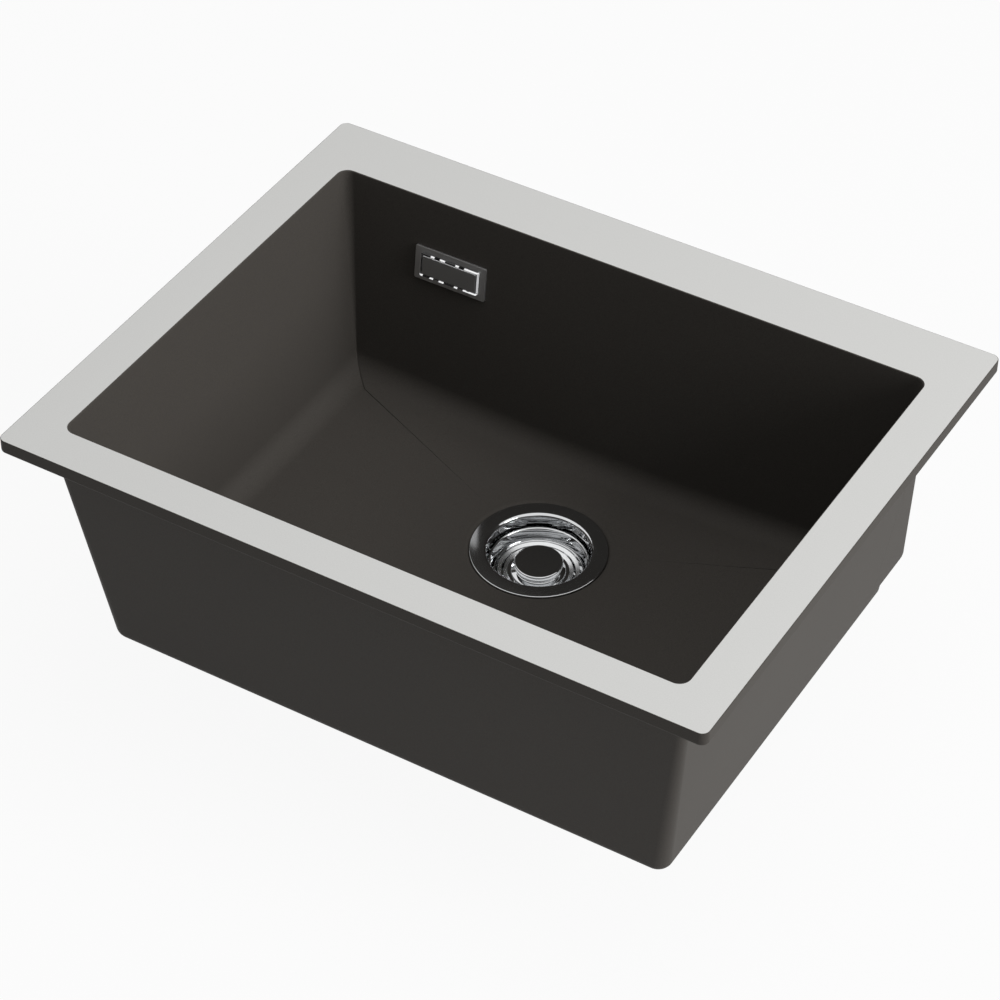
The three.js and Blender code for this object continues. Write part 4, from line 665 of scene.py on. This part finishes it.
def overflow_grille():
    """A square bead with four inlet notches, with slopes beside them and down its right."""
    across, high, thick, fall, chamfer = 25.6, 9.9, 1.1, 1.2, 1.3
    rings = [sleeve_ring(2 * across, 2 * high, 1.8, y) for y in (GRILLE_BACK, GRILLE_FRONT)]
    rings += [sleeve_ring(2 * (across - thick), 2 * (high - thick), 0.9, y)
              for y in (GRILLE_FRONT, GRILLE_BACK)]
    body = temporary(loft(rings, closed=True))
    back, front, clear = GRILLE_BACK - 0.2, GRILLE_FRONT - 0.1, GRILLE_FRONT - 1
    start, end = front + fall, front - 0.1
    over = [(start, high + 0.1), (end, high - fall), (clear, high - fall), (clear, high + 1),
            (start, high + 1)]
    below = [(start, fall - high), (end, -high - 0.1), (clear, -high - 0.1), (clear, 2 - high),
             (start, 2 - high)]
    slopes, corner_slope = ((-16.5, -13.0), (-8.4, -3.7), (5.2, 8.4), (13.0, 27.0)), (-27, -22.4)
    for low, top in slopes:
        combined(body, "DIFFERENCE", prism(over, low, top, "X"), prism(below, low, top, "X"))
    combined(body, "DIFFERENCE", prism(below, *corner_slope, "X"))
    side = [(across + 0.1, back), (across - chamfer, front), (across - chamfer, clear),
            (across + 1, clear), (across + 1, back)]
    combined(body, "DIFFERENCE", prism(side, -high - 1, high + 1))
    notches, lugs = (-10.7, 10.7), (-17.1, 0, 17.1)
    for side in (-1, 1):
        low, top = sorted((side * 8.55, side * 20.8))
        combined(body, "DIFFERENCE", *[
            block(x - 2.2, x + 2.2, clear, GRILLE_BACK - 0.3, low, top) for x in notches])
        low, top = sorted((side * 8.55, side * 9.3))
        combined(body, "UNION", *[
            block(x - 1, x + 1, GRILLE_FRONT + 0.6, GRILLE_BACK - 0.01, low, top) for x in lugs])
    return body


def overflow_cover():
    """The plate in the bead, with two clips behind it."""
    profile = ((COVER_FRONT, 0.4), (COVER_FRONT + 0.4, 0.0),
               (COVER_BACK - 0.2, 0.0), (COVER_BACK, 0.2))
    rings = [sleeve_ring(47 - 2 * inset, 16.5 - 2 * inset, 1.2, y) for y, inset in profile]
    body = temporary(loft(rings))
    for side in (-1, 1):
        low, high = sorted((side * 7.5, side * 6.3))
        combined(body, "UNION", block(-5, 5, COVER_BACK - 0.7, COVER_BACK + 8.5, low, high))
    return body


piece("overflow_plate", overflow_frame(), TRIM, stands_for=["overflow_frame"],
      place=OVERFLOW)
# The bead is one chrome part. Its faces get painted shade or a painted highlight according to the
# way they face.
bead = piece("overflow_bead", overflow_grille(), [PAINTED_SHADE_BEAD, PAINTED_HIGHLIGHT_BEAD, SLOPE, TRIM],
             stands_for=["overflow_grille"], place=OVERFLOW, bevel=0.06)
for face in bead.data.polygons:      # painted light by facing: slopes facing up get brighter chrome, the right chamfer a painted highlight, the left side a lighter steel
    if face.normal.y < -0.4 and face.normal.z > 0.5:
        face.material_index = 2
    elif 0.3 < face.normal.x < 0.97 and face.center.x > (OVERFLOW_X + 24) * MM:
        face.material_index = 1
    elif face.center.x < (OVERFLOW_X - 24.4) * MM:
        face.material_index = 3
lid = piece("overflow_lid", overflow_cover(), [LID, PAINTED_HIGHLIGHT_BEAD], "cover", ["overflow_cover"],
            OVERFLOW)
for face in lid.data.polygons:       # painted highlight: the upper edge's chamfer, which faces up, takes the pale bead finish
    face.material_index = int(face.normal.y < -0.4 and face.normal.z > 0.5)


def elbow_hopper(inset):
    """Rings of the hopper's outside, or of its inside when drawn in by the wall."""
    wide, high = 50 - 2 * inset, 20 - 2 * inset
    rear = ELBOW_FACE + 28 - inset
    front = ELBOW_FACE + (1.5 if inset == 0 else -1)
    return [
        sleeve_ring(wide, high, 3, front), sleeve_ring(wide, high, 3, ELBOW_FACE + 5),
        sleeve_ring(30 - 2 * inset, 24 - 2 * inset, 3, rear - 3 + inset / 2),
        sleeve_ring(27 - 2 * inset, 21 - 2 * inset, 3, rear - 0.9),
        sleeve_ring(24 - 2 * inset, 18 - 2 * inset, 2.5, rear),
    ]


def spigot_bore(length):
    """Bore of a spigot that ends at z = 0: a socket for the pipe, then a narrower bore."""
    return revolve([
        (0, -length - 1), (8, -length - 1), (8, -SOCKET_DEPTH), (SOCKET_RADIUS, -SOCKET_DEPTH),
        (SOCKET_RADIUS, 1), (0, 1),
    ], ROUND_FINE)


def overflow_elbow():
    """The hopper behind the wall, with its flange, two screw bosses and a spigot down."""
    body = temporary(loft([
        sleeve_ring(60, 28, 3, ELBOW_FACE), sleeve_ring(60, 28, 3, ELBOW_FACE + 2.4),
        sleeve_ring(59, 27, 2.6, ELBOW_FACE + 3),
    ]))
    spigot = revolve([
        (0, -SPIGOT_END), (SPIGOT_RADIUS - 0.6, -SPIGOT_END), (SPIGOT_RADIUS, 0.8 - SPIGOT_END),
        (SPIGOT_RADIUS, 0), (0, 0),
    ], ROUND_FINE)
    to_axis = Matrix.Translation((0, ELBOW_AXIS, 0))
    combined(body, "UNION", loft(elbow_hopper(0)), moved(spigot, to_axis))
    down = Matrix.Translation((0, ELBOW_AXIS, -SPIGOT_END)) @ Matrix.Rotation(math.pi, 4, "X")
    combined(body, "DIFFERENCE", loft(elbow_hopper(2.2)), moved(spigot_bore(SPIGOT_END), down))
    end = SLEEVE_END + 14
    for x in SCREWS:
        web = block(x - 1.2, x + 1.2, ELBOW_FACE + 0.02, ELBOW_FACE + 7, 0, 8.9)
        combined(body, "UNION", rod(x, 4.4, ELBOW_FACE + 0.01, end, 40), web)
        combined(body, "DIFFERENCE", rod(x, SCREW_HOLE, ELBOW_FACE - 1, end - 2.2))
    return body


piece("elbow", overflow_elbow(), BLACK, stands_for=["overflow_elbow"],
      place=OVERFLOW)

# ------------------------------------------------------------------ pipe and its joints

DOWN = (OVERFLOW.to_3x3() @ Vector((0, 0, -1))).normalized()
ELBOW_MOUTH = OVERFLOW @ Vector((0, ELBOW_AXIS, -SPIGOT_END))
PIPE_DROP, PIPE_BEND, SPIGOT_REACH = 40.7, 32, 78
PIPE_RADIUS, PIPE_BORE, PIPE_ENTERS = 10, 8, 11.7
PIPE_LEVEL = DRAIN_Z - PIPE_DROP
PIPE_CORNER = ELBOW_MOUTH + DOWN * ((PIPE_LEVEL - ELBOW_MOUTH.z) / DOWN.z)
SPIGOT_OUT = Vector((PIPE_CORNER.x, PIPE_CORNER.y - DRAIN_Y, 0)).normalized()
SPIGOT_MOUTH = Vector((0, DRAIN_Y, PIPE_LEVEL)) + SPIGOT_OUT * SPIGOT_REACH


def at_mouth(place, heading):
    """Puts a piece at a spigot's end, with its Z axis along the way out."""
    turn = Vector((0, 0, 1)).rotation_difference(heading)
    return Matrix.Translation(place) @ turn.to_matrix().to_4x4()


def pipe_nut():
    """A compression nut with eight grip ribs."""
    body = temporary(revolve(rounded([
        (12.75, -14, 0.4), (15.5, -14, 0.5), (15.5, 5.3, 0.5), (14, 6.8, 0.5), (10.35, 6.8, 0.3),
        (10.35, 3.8), (12.75, 3.8),
    ], 3), ROUND_FINE))
    for k in range(8):
        outline = rounded([(14.4, -1.5), (16.6, -1.2, 0.5), (16.6, 1.2, 0.5), (14.4, 1.5)], 4)
        combined(body, "UNION", spun(prism(outline, -13.9, 3.8), 2 * math.pi * k / 8))
    return body


def pipe_route():
    """Points and headings from inside the elbow's spigot, round one bend, to the waste's."""
    ahead = -SPIGOT_OUT
    bend = DOWN.angle(ahead)
    tangent = PIPE_BEND * math.tan(bend / 2)
    start = ELBOW_MOUTH - DOWN * PIPE_ENTERS
    end = SPIGOT_MOUTH - SPIGOT_OUT * PIPE_ENTERS
    across = (ahead - DOWN * ahead.dot(DOWN)).normalized()
    first = PIPE_CORNER - DOWN * tangent
    centre = first + across * PIPE_BEND
    route = [(start, DOWN), (first.lerp(start, 0.1), DOWN)]
    for k in range(25):
        turn = bend * k / 24
        point = centre - across * PIPE_BEND * math.cos(turn) + DOWN * PIPE_BEND * math.sin(turn)
        route.append((point, DOWN * math.cos(turn) + across * math.sin(turn)))
    return route + [(route[-1][0].lerp(end, 0.2), ahead), (end, ahead)]


def overflow_pipe():
    """Rings out along the pipe's outside and back along its bore."""
    side = DOWN.cross(SPIGOT_OUT).normalized()
    rings = []
    route = pipe_route()
    turns = [2 * math.pi * n / ROUND_FINE for n in range(ROUND_FINE)]
    for radius, path in ((PIPE_RADIUS, route), (PIPE_BORE, route[::-1])):
        for point, heading in path:
            up = heading.cross(side).normalized()
            rings.append([tuple(point + side * radius * math.cos(t) + up * radius * math.sin(t))
                          for t in turns])
    return loft(rings, closed=True)


piece("pipe", overflow_pipe(), GREY, stands_for=["overflow_pipe"])
piece("nut_at_elbow", pipe_nut(), BLACK, stands_for=["elbow_nut"],
      place=at_mouth(ELBOW_MOUTH, DOWN))
piece("nut_at_waste", pipe_nut(), BLACK, stands_for=["spigot_nut"],
      place=at_mouth(SPIGOT_MOUTH, SPIGOT_OUT))

# ------------------------------------------------------------------ strainer waste


def thickened(path, thickness):
    """A sheet of even thickness on one side of an open outline."""
    points = [Vector(p) for p in path]
    other = []
    for k, point in enumerate(points):
        into = (point - points[max(k - 1, 0)])
        out = (points[min(k + 1, len(points) - 1)] - point)
        first = (out if k == 0 else into).normalized()
        second = (into if k == len(points) - 1 else out).normalized()
        mitre = (first + second).normalized()
        normal = Vector((-mitre.y, mitre.x))
        other.append(point + normal * thickness / max(0.5, mitre.dot(first)))
    return [tuple(p) for p in points + other[::-1]]


def from_drain(face):
    """Distance of a face from the drain's axis, in millimetres."""
    return math.hypot(face.center.x / MM, face.center.y / MM - DRAIN_Y)


def strainer_flange():
    """The dish: a domed ring, a throat with a shallow groove, a heel and a spoked port."""
    throat, groove, bottom, screw_bore = 38.6, 39.5, -31, 7.35
    path = ([(51.9, -2.3)] + arc(51.3, -0.6, 0.6, 0, 90, 8) + arc(41.3, -2.95, 2.7, 90, 180, 10)
            + rounded([(throat, -8.0), (throat, -8.4, 0.4), (groove, -11.7, 0.4),
                       (groove, -12.7, 0.4), (throat, -14.5, 0.4), (throat, -15)], 3, closed=False)
            + arc(throat - 5.5, bottom + 5.5, 5.5, 0, -90, 10) + [(screw_bore, bottom)])
    body = temporary(revolve(thickened(path, 1.2)))
    port, hub, half_spoke, soft = 19.5, 12.5, 2.5, 0.8
    spoke_out = math.degrees(math.asin(half_spoke / port))
    spoke_in = math.degrees(math.asin(half_spoke / hub))
    for start in (0, 120, 240):
        outline = []
        for edge in (arc(0, 0, port, start + spoke_out, start + 120 - spoke_out, 24),
                     arc(0, 0, hub, start + 120 - spoke_in, start + spoke_in, 14)):
            outline += [(*edge[0], soft), *edge[1:-1], (*edge[-1], soft)]
        combined(body, "DIFFERENCE", prism(rounded(outline, 4), -33.5, -29.5))
    return body


def waste_body():
    """The cup under the dish, with its hub on four webs, outlet and overflow spigot."""
    fine, bore = ROUND_FINE * 2, 7.35
    outside = rounded([
        (0, -16), (54, -16, 0.6), (54, -20, 0.8), (46.6, -20, 1.2), (46.6, -51, 2.5),
        (23.9, -63, 2.5), (23.9, -88, 0.8), (0, -88),
    ], 4)
    inside = [(0, -14), (44, -14), (44, -50), (20, -61), (20, -90), (0, -90)]
    turn = math.atan2(SPIGOT_OUT.y, SPIGOT_OUT.x)
    mouth = (SPIGOT_REACH * SPIGOT_OUT.x, SPIGOT_REACH * SPIGOT_OUT.y, -PIPE_DROP)
    aim = (Matrix.Translation(mouth) @ Matrix.Rotation(turn, 4, "Z")
           @ Matrix.Rotation(math.pi / 2, 4, "Y"))
    spigot = revolve([(0, -34), (SPIGOT_RADIUS, -34), (SPIGOT_RADIUS, -0.8),
                      (SPIGOT_RADIUS - 0.8, 0), (0, 0)], ROUND_FINE)
    body = temporary(revolve(outside, fine))
    combined(body, "UNION", moved(spigot, aim))
    combined(body, "DIFFERENCE", revolve(inside, fine), moved(spigot_bore(36.6), aim))
    hub = temporary(revolve([(0, -62), (13, -62), (13, -47), (0, -47)], ROUND_FINE))
    for k in range(4):
        web = block(0, 45, -1.5, 1.5, -60, -49)
        combined(hub, "UNION", spun(web, math.pi / 2 * (k + 0.5) + turn))
    combined(hub, "INTERSECT", revolve(outside, fine))
    combined(body, "UNION", hub)
    nest = prism(arc(0, 0, 19.7 / math.sqrt(3), 0, 360, 6)[:-1], -64, -52.7)
    hole = revolve([(0, -63), (bore, -63), (bore, -46), (0, -46)], ROUND_FINE)
    return combined(body, "DIFFERENCE", hole, nest)


def clamp_screw():
    """The hollow screw with its slotted head."""
    body = temporary(revolve(rounded([
        (4.4, -60.7), (6.2, -60.7), (7, -59.9), (7, -30.7), (10.5, -30.7), (10.5, -27.7, 0.9),
        (6.5, -27.7, 0.3), (6.5, -30.3), (4.4, -30.3),
    ], 4), ROUND_FINE))
    return combined(body, "DIFFERENCE", block(-12, 12, -1, 1, -29.2, -26))


def clamp_seal():
    """The flat rubber ring between composite and cup."""
    corners = ((45.5, -15.7), (53.5, -15.7), (53.5, -13.5), (45.5, -13.5))
    return revolve(rounded([(*corner, 0.5) for corner in corners], 3))


dish = piece("strainer_dish", strainer_flange(), [CHROME, RING_PAINTED_SHADE],
             stands_for=["strainer_flange"], place=WASTE)
for face in dish.data.polygons:      # painted shade: the ring's top takes a slightly darker copy of the chrome
    face.material_index = int(from_drain(face) > 41.2 and face.normal.z > 0)
piece("waste_cup", waste_body(), BLACK, stands_for=["waste_body"], place=WASTE,
      crease=28)
piece("hollow_screw", clamp_screw(), SATIN, stands_for=["clamp_screw"], place=WASTE)
piece("clamp_seal", clamp_seal(), RUBBER, stands_for=["clamp_gasket"], place=WASTE)

# ------------------------------------------------------------------ strainer basket

STEM_BORE = 3.35


def arc_slot(radius, start, end):
    """A curved slot through the basket's floor."""
    outline = arc(0, 0, radius + 0.7, start, end, 16) + arc(0, 0, radius - 0.7, end, start, 16)
    return prism(outline, -23.4, -20.4)


def strainer_basket():
    """A pressed cup with a rolled rim, two raised bands and two rows of five curved slots."""
    floor = -21.4
    wall = rounded([(32, floor), (33.6, floor, 1.2), (33.6, -19.8, 1.0), (34.65, -16.68, 4.0),
                    (36.6, -12)], 6, closed=False)[1:]
    wall += arc(36.6, -12, 1, 150, 0, 8)
    band = ((0, 0), (0.2, 0.05), (2.8, 1.0), (2.95, 1.02), (3.05, 0.95), (3.1, 0))
    bands = [(radius + out, floor + up) for radius in (23.0, 27.8) for out, up in band]
    plain = [(STEM_BORE, floor)] + wall
    under = thickened(plain, -1.0)[len(plain):]
    body = temporary(revolve([(STEM_BORE, floor)] + bands + wall + under))
    slots = []
    for row, radius in enumerate((26.9, 31.5)):
        bridge = math.degrees(2 / radius)
        for k in range(5):
            start = 72 * (k + row / 2)
            slots.append(arc_slot(radius, start + bridge, start + 72 - bridge))
    return combined(body, "DIFFERENCE", *slots)


def basket_knob():
    """The waisted knob, with a blind bore for the stem."""
    top, foot, radius, flare = -12.0, -21.1, 18.4, 20.5
    height = top - foot
    return revolve(rounded([
        (0, top), (radius, top, 1.0), (radius, top - height * 0.35, 1.5),
        (15.6, top - height * 0.62, 2.5), (16.2, foot + height * 0.16, 1.5),
        (flare, foot + 0.6, 0.4), (flare, foot, 0.3), (STEM_BORE, foot),
        (STEM_BORE, foot + 5.3), (0, foot + 5.3),
    ], 6))


def stem_collet():
    """The sleeve on the stem, split crosswise at its foot."""
    body = temporary(revolve([
        (2.3, -29.1), (3.8, -29.1), (4, -29.3), (4, -45.1), (3.5, -46.35), (4, -47.6),
        (3.1, -50.1), (2.3, -50.1),
    ], ROUND_FINE))
    for k in range(2):
        slit = block(-5, 5, -0.4, 0.4, -51.1, -36.1)
        combined(body, "DIFFERENCE", spun(slit, math.pi / 2 * k))
    return body


def basket_stem():
    """The stem, with a collar above the collet and a head below it."""
    return revolve(rounded([
        (0, -16.1), (3, -16.1, 0.3), (3, -27.3), (5, -27.3, 0.3), (5, -28.8, 0.3), (2, -28.8),
        (2, -50.4), (3, -50.4, 0.3), (3, -51.6), (2.2, -52.4), (0, -52.4),
    ], 3), ROUND_FINE)


def basket_seal():
    """The rubber disc with a rim that comes down round the port."""
    return revolve(rounded([
        (STEM_BORE, -22.7), (24, -22.7, 1.0), (24, -30.7, 1.0), (21.4, -30.7, 0.6),
        (21.4, -25.2, 0.8), (STEM_BORE, -25.2),
    ], 4))


basket = piece("basket_cup", strainer_basket(), [CHROME, PRESSED], "basket",
               ["strainer_basket"], WASTE)
for face in basket.data.polygons:    # the slopes of the two raised bands
    face.material_index = int(22.8 < from_drain(face) < 31 and 0.8 < face.normal.z < 0.97)
piece("knob", basket_knob(), CHROME, "basket", ["basket_knob"], WASTE)
piece("stem", basket_stem(), SATIN, "basket", ["basket_stem"], WASTE)
piece("port_seal", basket_seal(), RUBBER, "basket", ["basket_seal"], WASTE)
piece("collet", stem_collet(), ACETAL, "collet", ["stem_collet"], WASTE)

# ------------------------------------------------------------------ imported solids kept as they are

KEPT = {
    RUBBER: ("overflow_gasket", "elbow_seal", "spigot_seal", "flange_gasket"),
    SATIN: ("overflow_screw_left", "overflow_screw_right", "seal_washer"),
    BRASS: ("insert_nut",),
}
for material, names in KEPT.items():
    for name in names:
        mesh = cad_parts[name].data
        mesh.materials.clear()
        mesh.materials.append(material)
        mesh.polygons.foreach_set("use_smooth", [True] * len(mesh.polygons))
        mesh.set_sharp_from_angle(angle=math.radians(35))

# ------------------------------------------------------------------ stage, light and camera


def area(name, place, target, width, height, power):
    """A rectangular lamp that faces a target."""
    light = bpy.data.lights.new(name, "AREA")
    light.shape = "RECTANGLE"
    light.size, light.size_y, light.energy = width, height, power
    lamp = bpy.data.objects.new(name, light)
    lamp.location = place
    lamp.rotation_euler = (Vector(target) - Vector(place)).to_track_quat("-Z", "Y").to_euler()
    bpy.context.scene.collection.objects.link(lamp)
    return lamp


def any_ray(tree, *kinds):
    """1 for light paths of the named kinds, and 0 for all others."""
    path = add_node(tree, "ShaderNodeLightPath")
    found = path.outputs[kinds[0]]
    for kind in kinds[1:]:
        links = [(0, found), (1, path.outputs[kind])]
        found = add_node(tree, "ShaderNodeMath", links, operation="MAXIMUM").outputs[0]
    return found


def mixed_output(tree, kind, share, first, second):
    """Ends a tree with two shaders mixed by a share."""
    links = [("Fac", share), (1, first.outputs[0]), (2, second.outputs[0])]
    mix = add_node(tree, "ShaderNodeMixShader", links)
    add_node(tree, kind, [("Surface", mix.outputs[0])])


def make_world():
    """A world that looks white, and lights diffuse surfaces with a dim fill."""
    world = bpy.data.worlds.new("studio")
    bpy.context.scene.world = world
    world.use_nodes = True
    tree = world.node_tree
    tree.nodes.clear()
    looked_at = any_ray(tree, "Is Camera Ray", "Is Glossy Ray", "Is Transmission Ray")
    color, strength = (1, 1, 1, 1), 0.215
    dim = add_node(tree, "ShaderNodeBackground", [("Color", color), ("Strength", strength)])
    white = add_node(tree, "ShaderNodeBackground", [("Color", color)])
    mixed_output(tree, "ShaderNodeOutputWorld", looked_at, dim, white)


def make_floor():
    """A floor that looks nearly white, with a faint shadow, and throws back less light."""
    mesh = bpy.data.meshes.new("floor")
    level, reach = CAD_BOX[0][2] - 0.5 * MM, 9
    corners = [(-reach, -reach), (reach, -reach), (reach, reach), (-reach, reach)]
    mesh.from_pydata([(x, y, level) for x, y in corners], [], [(0, 1, 2, 3)])
    floor = bpy.data.objects.new("floor", mesh)
    bpy.context.scene.collection.objects.link(floor)
    material = bpy.data.materials.new("floor")
    material.use_nodes = True
    tree = material.node_tree
    tree.nodes.clear()
    looked_at = any_ray(tree, "Is Camera Ray", "Is Glossy Ray")
    whiteness, grey_share = 0.93, 0.62
    share = add_node(tree, "ShaderNodeMath", [(0, looked_at), (1, whiteness)], operation="MULTIPLY")
    plain = add_node(tree, "ShaderNodeBsdfDiffuse", [("Color", (grey_share,) * 3 + (1,))])
    white = add_node(tree, "ShaderNodeEmission", [("Color", (1, 1, 1, 1))])
    mixed_output(tree, "ShaderNodeOutputMaterial", share.outputs[0], plain, white)
    floor.data.materials.append(material)


def make_camera():
    """The camera, solved from the photograph's straight edges."""
    azimuth, elevation, roll = math.radians(30.638), math.radians(41.504), 0.0068
    back = Vector((math.sin(azimuth) * math.cos(elevation),
                   -math.cos(azimuth) * math.cos(elevation), math.sin(elevation)))
    right = Vector((math.cos(azimuth), math.sin(azimuth), 0))
    down = (-back).cross(right)
    c, s = math.cos(roll), math.sin(roll)
    x_axis, y_axis, z_axis = c * right - s * down, s * right + c * down, -back
    # where the frame's origin lies along these three axes, in metres
    origin = Vector((0.0045645, -0.0716109, 2.4053))
    place = -(x_axis * origin.x + y_axis * origin.y + z_axis * origin.z)
    data = bpy.data.cameras.new("camera")
    data.lens, data.sensor_width = 124.225, 36
    data.clip_start, data.clip_end = 0.05, 60
    camera = bpy.data.objects.new("camera", data)
    camera.matrix_world = Matrix((
        (x_axis.x, -y_axis.x, back.x, place.x),
        (x_axis.y, -y_axis.y, back.y, place.y),
        (x_axis.z, -y_axis.z, back.z, place.z),
        (0, 0, 0, 1),
    ))
    bpy.context.scene.collection.objects.link(camera)
    bpy.context.scene.camera = camera


make_world()
make_floor()
make_camera()
area("right", (4.5, 0.2, 1.95), (0, 0, -0.1), 2.2, 2.6, 240)
area("top", (0.5, 0.2, 3.2), (0, 0, -0.1), 2.0, 2.0, 43).visible_glossy = False

bpy.context.scene.view_settings.view_transform = "Standard"
